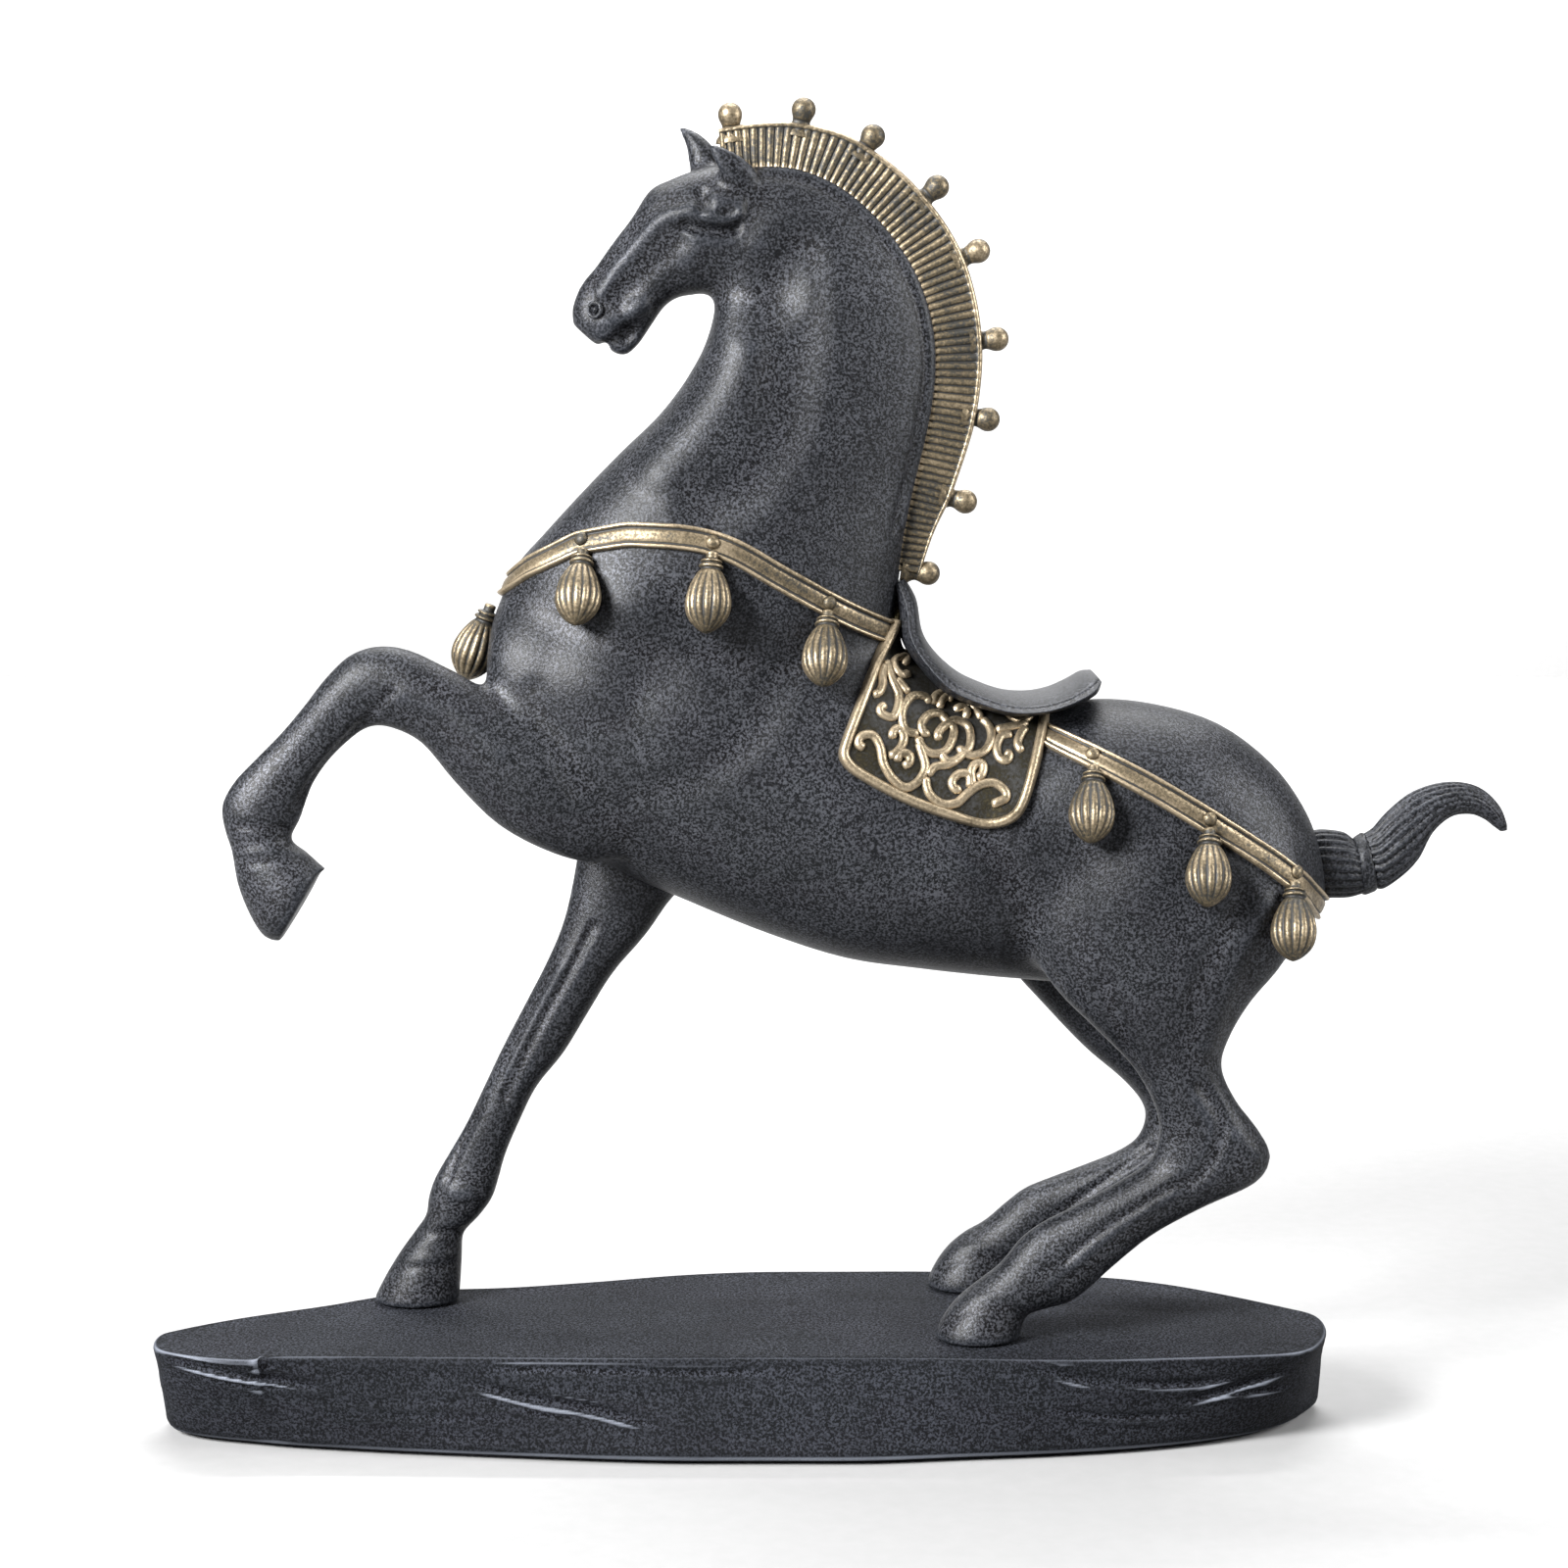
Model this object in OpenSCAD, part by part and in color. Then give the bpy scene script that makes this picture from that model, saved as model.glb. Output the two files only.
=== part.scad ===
// Rearing horse statuette in parade harness, cast in sections and bolted to a rock plinth.
// The horse faces -X and +Z is up. The origin is the centre of the felt pad's underside.
// Side-view points are [x, z] with z counted from the plinth's deck, at the nominal figure size.

/* [Figure] */
// Height of the figure, from the deck to the top of the mane comb
figure_h = 339; // [282:1:407]
// Width of the barrel at its widest
barrel_w = 62; // [52:1:74]
// Width of the mouth slot between the lips
mouth_gap = 3; // [2:0.5:4]

/* [Plinth] */
// Length of the rock plinth
plinth_l = 334; // [279:1:401]
// Width of the rock plinth
plinth_w = 96; // [92:1:115]
// Height of the rock, from the felt to the deck
plinth_h = 27.5; // [20:0.5:40]
// Thickness of the felt pad
felt_t = 1.5; // [1:0.5:3]
// Distance of the felt's edge inside the rock's foot
felt_inset = 3; // [2:0.5:6]

/* [Harness] */
// Width of the breast strap and the crupper strap
strap_w = 7; // [5:0.5:9]
// How far a strap stands out from the body
strap_t = 1.6; // [1.2:0.1:2.4]
// Diameter of the domed rivets
rivet_d = 4; // [3:0.25:5]
// Greatest diameter of a tassel
tassel_d = 12; // [9:0.5:14]
// Length of a tassel from its cord to its tip
tassel_l = 23; // [18:0.5:28]

/* [Saddle] */
// Thickness of the saddle seat at its middle
seat_t = 6; // [4:0.5:8]
// Width of the saddle seat
seat_w = 46; // [38:1:52]
// How far the saddle cloth stands out from the body
cloth_t = 1.8; // [1.4:0.1:2.6]
// Width of the rolled border of the saddle cloth
border_w = 3.2; // [2.4:0.2:4]
// How far the border stands out from the cloth
border_t = 1.2; // [0.8:0.1:2]
// Width of a stroke of the scrollwork
scroll_w = 2.2; // [1.8:0.1:3]
// How far the scrollwork stands out from the cloth
scroll_t = 1.2; // [0.8:0.1:2]

/* [Mane and tail] */
// Height of the roached mane above the crest of the neck
mane_h = 13; // [9:0.5:15]
// Thickness of the mane comb
mane_t = 6; // [4:0.5:8]
// Number of balls along the mane comb
ball_count = 9; // [7:1:11]
// Diameter of a ball
ball_d = 6.8; // [5.6:0.2:8]
// Length of the neck that carries a ball
ball_neck = 3; // [2:0.5:4]

/* [Fixings] */
// Diameter of the threaded studs that hold the hooves
stud_d = 4; // [3:0.5:5]
// Length of a stud inside its hoof
stud_in_hoof = 10; // [7:1:12]
// Diameter of the counterbore in the plinth's underside
counterbore_d = 14; // [12:1:16]
// Depth of the counterbore
counterbore_depth = 12; // [8:1:14]
// Outer diameter of the washers
washer_d = 11; // [9:0.5:12]
// Thickness of the washers
washer_t = 1; // [0.8:0.1:1.5]
// Width across flats of the hexagon nuts
nut_af = 7; // [6:0.5:8]
// Thickness of the nuts
nut_t = 3.2; // [2.4:0.2:4]
// Diameter of the steel dowels in the glued joints
dowel_d = 4; // [3:0.5:5]
// Length of the steel dowels
dowel_l = 20; // [14:1:24]

/* [Hidden] */

deck_z = felt_t + plinth_h;       // height of the surface that the hooves stand on
drawn_h = 339;                    // figure height at which the side-view points below are drawn
drawn_w = 62;                     // barrel width at which the half widths below are drawn
drawn_l = 334;                    // length at which the plinth's outline is drawn
drawn_plinth_w = 96;              // width at which the plinth's outline is drawn
drawn_seat_t = 6;                 // thickness at which the saddle seat is drawn
size_k = figure_h / drawn_h;      // side-view scale of the figure
width_k = barrel_w / drawn_w;     // sideways scale of the figure
clear = 0.15;                     // running clearance round studs and dowels
seam = 0.05;                      // gap at a glued seam between two castings
skin_d = 400;                     // deeper than anything cut through from side to side
black = "#26272b";
gilt = "#a58a5c";
steel = "#9a9da1";

// Sections of a casting: [x1, z1, x2, z2, y, half width, egg]. Points 1 and 2 are the front or top
// and the back or bottom of the section in side view; a positive egg makes the side of point 2 fuller.
torso = [
    [-71.5, 190, -71.5, 180, 0, 8, 0], [-70, 203, -70, 168, 0, 19, 0], [-64, 212, -63, 155, 0, 25, 0],
    [-49, 217, -52, 142, 0, 28.5, 0], [-24, 218, -36, 131, 0, 30.5, 0.05], [4, 213, -14, 121, 0, 31, 0.1],
    [28, 204, 8, 112, 0, 31, 0.12], [47, 191, 30, 105, 0, 31, 0.12], [65, 179, 51, 102, 0, 30.5, 0.1],
    [84, 177, 68, 100, 0, 30, 0.05], [101, 179.5, 84, 98.5, 0, 30, 0], [118, 178, 101, 97, 0, 31, -0.05],
    [136, 172.5, 119, 94, 0, 30.5, -0.05], [151, 161.5, 136, 93, 0, 28, 0],
    [160.5, 149, 149, 98, 0, 23, 0],
    [165.5, 137, 159, 109, 0, 15, 0], [167.5, 127, 165, 119, 0, 6, 0]
];
neck = [
    [-2, 328, -9, 301, 0, 9, 0], [9, 329.5, -7, 293.5, 0, 11, 0.1], [20, 327, -7.8, 286, 0, 12.5, 0.15],
    [31, 321.5, -10.2, 278.7, 0, 13.5, 0.2], [41, 312, -13.1, 273.2, 0, 14.5, 0.25],
    [49.3, 300, -17.3, 266.7, 0, 15.5, 0.28], [54.3, 286, -23.8, 258.8, 0, 17, 0.3],
    [55.2, 271, -33.4, 249.7, 0, 19, 0.3], [53, 256, -44.7, 238.2, 0, 21.5, 0.28],
    [49, 239, -55.9, 226.1, 0, 24, 0.22], [46, 222, -63.9, 216.9, 0, 26.5, 0.15],
    [44, 205, -69.4, 204, 0, 28, 0.1], [44, 190, -68.6, 190, 0, 24, 0]
];
head = [
    [9, 328, 4, 300, 0, 8, 0], [-3, 329.5, -3, 294.3, 0, 12, 0.05], [-12, 327.8, -9, 293.6, 0, 12.8, 0],
    [-19.5, 325, -13, 293.2, 0, 12.2, 0], [-25.2, 322, -17, 292.6, 0, 10.6, -0.05],
    [-30.3, 314.4, -21, 290.2, 0, 8.9, 0], [-35.7, 307.5, -24.6, 285.2, 0, 7.6, 0],
    [-40.4, 301, -28.6, 279.4, 0, 7, 0], [-44.6, 295.8, -32.5, 276.4, 0, 7.2, 0],
    [-47, 289.6, -36.2, 277.6, 0, 6.6, 0], [-46.8, 285, -41, 279.8, 0, 4, 0]
];
raised_foreleg = [
    [-34, 188, -28, 136, -15, 8, 0], [-48, 180, -40, 135, -18, 11, 0], [-60, 179, -52, 138, -20, 12, 0],
    [-72, 185.5, -67, 146, -21, 10.8, 0], [-82.5, 191, -79, 158, -21.5, 9.2, 0],
    [-91.5, 195.3, -88.5, 169.5, -22, 8, 0], [-100, 196.5, -98, 174, -22, 7.7, 0],
    [-108, 194, -104, 173.5, -22, 7.5, 0], [-115, 187.5, -109.5, 169.5, -22, 7, 0],
    [-121.5, 179.3, -114.5, 164.5, -22, 6.4, 0], [-128, 171.8, -118.7, 158.5, -22, 6, 0],
    [-134.5, 165.3, -121, 153, -22, 6.2, 0], [-141, 158.5, -123, 147.5, -22, 7, 0],
    [-144.5, 151.8, -125, 144, -22, 7.2, 0], [-143.8, 145, -125, 141.5, -22, 6.8, 0],
    [-142, 139, -120.5, 138, -22, 7.6, 0], [-140.6, 130, -116.3, 134, -22, 9, 0],
    [-137.5, 121.5, -116, 134.5, -22, 9.6, 0], [-133.5, 115, -116.8, 134, -22, 9.8, 0],
    [-129, 113.4, -118.5, 131, -22, 9, 0]
];
standing_foreleg = [
    [-46, 146, -2, 136, 17, 9, 0], [-47.5, 136, -11, 127, 16, 9.8, 0], [-49, 126, -20, 120, 15, 9.4, 0],
    [-52, 113, -28, 109, 14, 8.5, 0], [-57, 101, -37.5, 98, 13, 8, 0],
    [-63.5, 88.5, -45, 86, 12.5, 7.6, 0],
    [-70, 76, -52, 74.5, 12, 7.4, 0], [-75.5, 64.5, -60, 64.5, 11.5, 6.8, 0],
    [-80.5, 54, -65, 54.5, 11, 6.3, 0],
    [-86, 44.5, -69.3, 44.5, 11, 6.3, 0], [-90.3, 37, -71.5, 37, 11, 6.9, 0],
    [-92.3, 31, -73.5, 31, 11, 7.2, 0],
    [-93, 26, -77.5, 25.5, 11, 6.9, 0], [-96, 21.5, -82, 20.5, 11, 6.7, 0],
    [-101, 14.5, -82.6, 14.5, 11, 8, 0],
    [-105.5, 7, -83, 7.5, 11, 9.5, 0], [-109, 0, -83.7, 0, 11, 10.5, 0]
];
left_hind = [
    [96, 151, 142, 151, 12, 8, 0], [82, 142, 157, 140, 18, 13, 0], [78, 128, 159, 122, 20, 14.5, 0],
    [80, 113, 153.5, 108, 21, 14, 0], [89, 99.5, 144, 97, 22, 12.5, 0], [99, 89.5, 138, 87, 22.5, 11, 0],
    [110, 78.5, 135.5, 78, 23, 9.6, 0], [116, 68.5, 139.5, 68.5, 24, 8.8, 0],
    [118, 61.5, 146, 60, 24.5, 8.3, 0],
    [117.5, 56, 149.5, 52.5, 25, 8, 0], [115.5, 51, 145.5, 45, 25, 7.8, 0],
    [110, 47, 131, 38, 25, 7.4, 0],
    [102, 42.4, 116.5, 30, 25.5, 7, 0], [94, 38, 105.5, 21, 26, 6.8, 0], [86, 34, 98.5, 14.4, 26, 7, 0],
    [79.5, 29.2, 93, 10.5, 26, 7.6, 0], [73.5, 21.7, 86, 8.6, 26, 7.6, 0],
    [66.5, 16, 81.5, 7, 26, 7.6, 0],
    [60.5, 10.5, 80, 4, 26, 9, 0], [56.5, 4.5, 79.3, 1, 26, 10.5, 0], [54.8, 0, 79, 0, 26, 10.8, 0]
];
right_hind = [
    [96, 150, 140, 150, 12, 8, 0], [80, 141, 156, 140, 18, 13, 0], [73, 126, 157, 121, 20, 14.5, 0],
    [73, 109, 151, 106, 21, 14, 0], [79, 98, 141, 93, 22, 12.5, 0], [88.2, 87.5, 134, 82, 22.5, 11, 0],
    [101, 74, 131.5, 72, 23, 9.6, 0], [112, 64.5, 136, 61, 24, 8.8, 0],
    [118.3, 57.3, 142, 52.5, 24.5, 8.3, 0],
    [119.8, 51.5, 143, 45, 25, 8, 0], [117.3, 45.3, 138, 38, 25, 7.8, 0],
    [111, 41, 126, 31.5, 25, 7.4, 0],
    [102.4, 37.3, 113.5, 25, 25.5, 7, 0], [92, 33.2, 102, 16.5, 26, 6.8, 0],
    [84.4, 30, 94.5, 11, 26, 7, 0],
    [78.5, 25.4, 89, 7.5, 26, 7.6, 0], [72.4, 20, 84.5, 6.8, 26, 7.6, 0], [65.7, 16, 81, 6, 26, 7.6, 0],
    [60.5, 11, 80, 3.6, 26, 9, 0], [56.7, 5, 79.3, 1, 26, 10.5, 0], [55, 0, 79, 0, 26, 10.8, 0]
];
dock = [
    [159, 140, 160, 124, 0, 7, 0], [164.5, 141.8, 165.5, 122.4, 0, 8.2, 0],
    [169, 141.8, 170, 122.2, 0, 8.4, 0],
    [173, 141, 174.5, 122.4, 0, 8, 0], [175.6, 139, 178.4, 123.5, 0, 7, 0]
];
tie = [
    [175.4, 139.4, 178.2, 123.2, 0, 7.1, 0], [176, 139.9, 179.2, 123.1, 0, 7.6, 0],
    [177.5, 140.9, 181.5, 124, 0, 7.6, 0], [178.2, 140.9, 182.2, 124.6, 0, 7.1, 0]
];
plume = [
    [178, 140.5, 182, 125, 0, 7, 0], [181, 142.5, 184.5, 125, 0, 8, 0],
    [185, 147.2, 189.5, 128.5, 0, 8, 0],
    [191.5, 152.6, 194, 133.5, 0, 7.2, 0], [199, 155.3, 197.8, 141, 0, 6, 0],
    [206, 155.6, 203, 145.6, 0, 4.8, 0],
    [212, 153.6, 208.5, 146.4, 0, 3.8, 0], [216.8, 149, 212.5, 145, 0, 3, 0],
    [219, 144.2, 215.5, 142.8, 0, 2.2, 0], [219.3, 141.9, 217.3, 141.5, 0, 1.2, 0]
];
seat = [
    [46.5, 214, 43, 212, 0, 0.22, 0], [49.8, 208, 44.5, 205.5, 0, 0.34, 0],
    [51.5, 199, 45.5, 197, 0, 0.56, 0],
    [55.2, 193, 49.5, 190, 0, 0.76, 0], [61.4, 187.4, 57, 182, 0, 0.9, 0],
    [68.1, 184, 66, 178, 0, 0.98, 0],
    [75, 181.7, 75, 175.6, 0, 1, 0], [82, 181.2, 83, 175.6, 0, 1, 0], [88, 182.3, 90, 177, 0, 0.98, 0],
    [93, 184.6, 96, 179, 0, 0.95, 0], [97, 187, 100.5, 181.5, 0, 0.85, 0],
    [100, 187.4, 102, 184.8, 0, 0.6, 0]
];
near_ear = [
    [6.5, 321, -1.5, 317.5, 6, 3.6, 0], [5.6, 325.6, -3, 321, 8, 4.2, 0],
    [2.6, 329.3, -4.6, 325, 9.4, 3.8, 0],
    [-1.5, 332, -6.6, 329, 10.2, 3, 0], [-5.2, 333.6, -8, 331.8, 10.5, 1.9, 0],
    [-7.4, 334.2, -8.4, 333.6, 10.5, 0.8, 0]
];
far_ear = [
    [-5, 325, -13.5, 323.5, 6, 3.6, 0], [-5.6, 329.6, -14.2, 328.5, 7.4, 4.2, 0],
    [-7, 334, -14.8, 332.8, 8.2, 3.8, 0],
    [-10.2, 337.4, -15.6, 336, 8.6, 2.8, 0], [-13.6, 339.5, -16.8, 338.3, 9, 1.7, 0],
    [-16.2, 340.3, -17.4, 339.9, 9, 0.7, 0]
];

crest = [[-5, 328.5], [5, 329.3], [15, 328.5], [25, 325], [35, 318], [43, 309.6], [49, 300.5],
    [53, 290], [55, 279],
    [55, 268], [53.3, 256], [50.5, 243], [47.2, 230], [45, 216]];

breast_line = [[-82, 196], [-70, 209], [-59, 217.5], [-45, 224.5], [-31, 227.3], [-15, 226.5], [-2, 223],
    [12, 215], [28, 206], [41, 199.5]];
crupper_line = [[86, 170.5], [98, 165.5], [114, 157.5], [132, 147], [148, 136.5], [160, 130],
    [172, 126.5]];
cloth_edge = [[42, 203], [28.5, 170], [28.5, 164.5], [33, 160.5], [47, 153], [63, 147.5], [70, 146.5],
    [76.5, 148.5], [80, 154], [85, 168.5], [89.5, 184]];
breast_rivet_at = [[-43.2, 225.5], [-7.4, 225], [24.5, 208.3]];
crupper_rivet_at = [[98, 166], [130, 148.8], [154.5, 133.5]];
plinth_top = [[-166.5, -24], [-164.5, -37], [-153, -44.5], [-136, -48], [-126.5, -45], [-69.5, -45.5],
    [-15, -46], [39.5, -46], [94, -48], [121, -46], [149, -43], [160, -38], [166, -27], [168.5, -14],
    [167, -3], [160, 4.5], [143, 18.5], [124, 31], [104, 37.5], [57, 42.5], [12.5, 42.5], [-17.5, 39],
    [-47, 31], [-70, 25.5], [-97, 22], [-112, 13.5], [-123, 6.5], [-144, -5], [-160.5, -16.5]];
plinth_foot = [[-165.5, -13], [-163, -25], [-154, -32], [-138, -37], [-118, -41.5], [-69.5, -48.5],
    [-15, -53], [39.5, -52.5], [94, -46], [121, -40], [143, -31.5], [155, -23], [163, -13], [169, -1],
    [165, 9], [154, 18], [140, 26], [122, 34], [103, 39], [57, 45], [12.5, 44.5], [-17.5, 41.5],
    [-47, 33.5],
    [-70, 27.5], [-97, 23], [-112, 15.5], [-123, 9], [-144, -1], [-158, -7]];
hoof_at = [[-95, 11], [68, -26], [68, 26]];   // where the studs stand, at the nominal size

// ---- curves and lofts -------------------------------------------------------------------------

function catmull(a, b, c, d, t) =
    0.5 * (2 * b + (c - a) * t + (2 * a - 5 * b + 4 * c - d) * t * t + (3 * b - a - 3 * c + d) * t * t * t);
function pick(v, i) = v[max(0, min(len(v) - 1, i))];
function smooth_open(v, steps) = [
    for (i = [0 : len(v) - 2], j = [0 : steps - 1])
        catmull(pick(v, i - 1), v[i], v[i + 1], pick(v, i + 2), j / steps),
    v[len(v) - 1]
];
function smooth_closed(v, steps) = let (n = len(v)) [
    for (i = [0 : n - 1], j = [0 : steps - 1])
        catmull(v[(i + n - 1) % n], v[i], v[(i + 1) % n], v[(i + 2) % n], j / steps)
];
// Sections at their real size: side view by size_k, sideways by width_k, widened all round by grow.
function grown(s, grow) = let (
    p = [s[0], s[1]] * size_k, q = [s[2], s[3]] * size_k, along = (p - q) / max(norm(p - q), 0.01)
) [p[0] + along[0] * grow, p[1] + along[1] * grow, q[0] - along[0] * grow, q[1] - along[1] * grow,
    s[4] * width_k, s[5] * width_k + grow, s[6]];
function sections(v, steps, grow = 0) = [for (s = smooth_open(v, steps)) grown(s, grow)];
function ring(s, n, side) = [for (k = [0 : n - 1]) let (c = cos(360 * k / n), w = sin(360 * k / n))
    [(s[0] + s[2]) / 2 + c * (s[0] - s[2]) / 2, side * (s[4] + s[5] * w * (1 - s[6] * c)),
        deck_z + (s[1] + s[3]) / 2 + c * (s[1] - s[3]) / 2]];
module skin(rings, n) {
    m = len(rings);
    polyhedron(
        points = [for (r = rings) each r],
        faces = concat(
            [[for (k = [0 : n - 1]) k]],
            [for (i = [0 : m - 2], k = [0 : n - 1]) each [
                [i * n + k, (i + 1) * n + k, (i + 1) * n + (k + 1) % n],
                [i * n + k, (i + 1) * n + (k + 1) % n, i * n + (k + 1) % n]]],
            [[for (k = [n - 1 : -1 : 0]) (m - 1) * n + k]]
        )
    );
}
// A loft runs through its sections either way; its faces are turned to look outwards.
module loft(v, n = 24, steps = 2, grow = 0, side = 1) {
    rings = [for (s = sections(v, steps, grow)) ring(s, n, side)];
    m = floor(len(v) / 2);
    a = v[m];
    b = v[m + 1];
    way = side * turn([a[0] - a[2], a[1] - a[3]], [b[0] + b[2] - a[0] - a[2], b[1] + b[3] - a[1] - a[3]]);
    if (way > 0) skin(rings, n);
    else skin([for (r = rings) [for (k = [n - 1 : -1 : 0]) r[k]]], n);
}
// Evaluates its children together as one closed mesh of unchanged size.
module one_mesh() { resize([0, 0, 0]) union() children(); }

function turn(a, b) = a[0] * b[1] - a[1] * b[0];
// Half width of a lofted body at a side-view point, or -1 where the body doesn't reach.
function half_width(secs, p) = max([-1, for (i = [0 : len(secs) - 2]) let (
    a = secs[i], b = secs[i + 1],
    da = turn([a[2] - a[0], a[3] - a[1]], p - [a[0], a[1]]),
    db = turn([b[2] - b[0], b[3] - b[1]], p - [b[0], b[1]])
) da * db > 0 ? -1 : let (
    f = abs(da) / max(abs(da) + abs(db), 0.0001), s = a * (1 - f) + b * f,
    l = [s[2] - s[0], s[3] - s[1]], u = ((p - [s[0], s[1]]) * l) / (l * l), c = 1 - 2 * u
) u < 0 || u > 1 ? -1 : s[4] + s[5] * sqrt(1 - c * c) * (1 - s[6] * c)]);
torso_secs = sections(torso, 3);
neck_secs = sections(neck, 3);
hind_secs = sections(left_hind, 3);
function body_y(p) = max(half_width(torso_secs, p), half_width(neck_secs, p), half_width(hind_secs, p));

// A band of width w along a side-view line, run through the figure from side to side.
module band(line, w) {
    v = smooth_open([for (p = line) p * size_k], 4);
    m = len(v);
    function edge(i, s) = let (t = pick(v, i + 1) - pick(v, i - 1), l = norm(t))
        v[i] + s * [-t[1], t[0]] / l * w / 2;
    translate([0, skin_d / 2, deck_z]) rotate([90, 0, 0]) linear_extrude(skin_d)
        polygon([for (i = [0 : m - 1]) edge(i, 1), for (i = [m - 1 : -1 : 0]) edge(i, -1)]);
}
// Runs a side-view shape right through the figure, or through its left (-1) or right (1) half.
module from_side(side = 0) {
    translate([0, side < 0 ? 0 : skin_d / 2, deck_z]) rotate([90, 0, 0])
        linear_extrude(side == 0 ? skin_d : skin_d / 2) children();
}
module body(grow = 0) { loft(torso, 24, 2, grow); loft(neck, 24, 2, grow); }
module haunches(grow = 0) { loft(left_hind, 18, 1, grow, -1); loft(right_hind, 18, 1, grow, 1); }

// ---- plinth and fixings -----------------------------------------------------------------------

// The rock's outline at a height, drawn in by inset, with chipped strata that repeat round it.
plinth_n = 3 * len(plinth_top);
function rock_ring(inset, z, chip) = let (t = (z - felt_t) / plinth_h,
    line = smooth_closed(plinth_top * t + plinth_foot * (1 - t), 3)) [for (i = [0 : plinth_n - 1]) let (
    p = line[i], a = 360 * i / plinth_n,
    d = inset + chip * (sin(5 * a + 40 * z) + 0.6 * sin(11 * a - 25 * z))
) [p[0] * plinth_l / drawn_l * (1 - 2 * d / drawn_l),
    p[1] * plinth_w / drawn_plinth_w * (1 - 2 * d / drawn_plinth_w), z]];
module rock_plinth() {
    n = plinth_n;
    h = plinth_h;   // the strata lie at parts of it
    color(black) difference() {
        skin([rock_ring(1.4, felt_t, 0), rock_ring(0.4, felt_t + 0.1 * h, 0.2),
            rock_ring(0.2, felt_t + 0.4 * h, 0.4), rock_ring(0, felt_t + 0.75 * h, 0.5),
            rock_ring(0, deck_z - 1.8, 0.4), rock_ring(0.6, deck_z - 0.6, 0.2), rock_ring(2, deck_z, 0)], n);
        for (p = hoof_at) translate([p[0] * size_k, p[1] * width_k, 0]) {
            cylinder(h = deck_z + 1, d = stud_d + 2 * clear, $fn = 32);
            cylinder(h = felt_t + counterbore_depth, d = counterbore_d, $fn = 48);
        }
    }
}
module felt_pad() {
    v = rock_ring(1.4 + felt_inset, 0, 0);
    color("#1b1b1c") linear_extrude(felt_t) polygon([for (p = v) [p[0], p[1]]]);
}
module at_hooves() { for (p = hoof_at) translate([p[0] * size_k, p[1] * width_k, 0]) children(); }
seat_z = felt_t + counterbore_depth;   // roof of the counterbores, where the washers bear
module hoof_studs() {
    foot = seat_z - washer_t - nut_t - 1.5;   // a stud ends 1.5 mm below its nut
    color(steel) at_hooves() translate([0, 0, foot])
        cylinder(h = deck_z + stud_in_hoof - foot, d = stud_d, $fn = 32);
}
module stud_washers() {
    color(steel) at_hooves() translate([0, 0, seat_z - washer_t]) difference() {
        cylinder(h = washer_t, d = washer_d, $fn = 40);
        translate([0, 0, -1]) cylinder(h = washer_t + 2, d = stud_d + 2 * clear, $fn = 32);
    }
}
module stud_nuts() {
    color(steel) at_hooves() translate([0, 0, seat_z - washer_t - nut_t]) difference() {
        cylinder(h = nut_t, d = nut_af / cos(30), $fn = 6);
        translate([0, 0, -1]) cylinder(h = nut_t + 2, d = stud_d + clear, $fn = 32);
    }
}
module stud_bores() {
    at_hooves() translate([0, 0, deck_z - 2])
        cylinder(h = stud_in_hoof + 3, d = stud_d + 2 * clear, $fn = 24);
}
// A dowel lies across its seam: centre in side view, direction in degrees and sideways place.
module dowel(at, angle, y, over = 0) {
    translate([at[0] * size_k, y * width_k, deck_z + at[1] * size_k]) rotate([0, angle, 0])
        cylinder(h = dowel_l + 2 * over, d = dowel_d + 2 * over, center = true, $fn = 24);
}
module head_dowel(over = 0) { color(steel) dowel([0, 314], -80, 0, over); }
module foreleg_dowel(over = 0) { color(steel) dowel([-60, 164], -75, -19, over); }
module tail_dowel(over = 0) { color(steel) dowel([164, 132], 88, 0, over); }

// ---- castings of the figure -------------------------------------------------------------------

module torso_casting() {
    color(black) one_mesh() difference() {
        loft(torso, 24, 2);
        foreleg_dowel(clear);
        tail_dowel(clear);
    }
}
module neck_casting() {
    color(black) one_mesh() difference() {
        loft(neck, 24, 2);
        loft(torso, 24, 2, seam);
        head_dowel(clear);
    }
}
module head_solid(grow = 0) { loft(head, 24, 2, grow); }
module head_casting() {
    color(black) one_mesh() difference() {
        head_solid();
        loft(neck, 24, 2, seam);
        from_side() mouth_shape();
        head_dowel(clear);
    }
}
module mouth_shape() {
    // the slot opens between the lips and ends round at the corner of the mouth
    inner = [-28, 286.5] * size_k;
    outer = [-43, 274.5] * size_k;
    hull() {
        translate(inner) circle(d = mouth_gap * 0.8, $fn = 16);
        translate(outer) circle(d = mouth_gap * 1.7, $fn = 16);
    }
}
// The hollow of an ear is a smaller copy of it pushed out through the open side.
module ear_solid(v, side) {
    difference() {
        loft(v, 12, 2, 0, side);
        translate([-1.6 * size_k, side * 2.6 * width_k, 1.4 * size_k]) loft(v, 12, 2, -0.9, side);
    }
}
module left_ear() {
    color(black) one_mesh() difference() {
        ear_solid(near_ear, -1);
        loft(neck, 24, 2, seam);
        head_solid(seam);
    }
}
module right_ear() {
    color(black) one_mesh() difference() {
        ear_solid(far_ear, 1);
        loft(neck, 24, 2, seam);
        head_solid(seam);
    }
}
module left_foreleg() {
    color(black) one_mesh() difference() {
        loft(raised_foreleg, 16, 1);
        body(seam);
        foreleg_dowel(clear);
    }
}
module right_foreleg() {
    color(black) one_mesh() difference() {
        loft(standing_foreleg, 16, 1);
        body(seam);
        stud_bores();
    }
}
module hind_leg_solid(v, side) {
    color(black) one_mesh() difference() {
        loft(v, 18, 1, 0, side);
        loft(torso, 24, 2, seam);
        stud_bores();
    }
}
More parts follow.
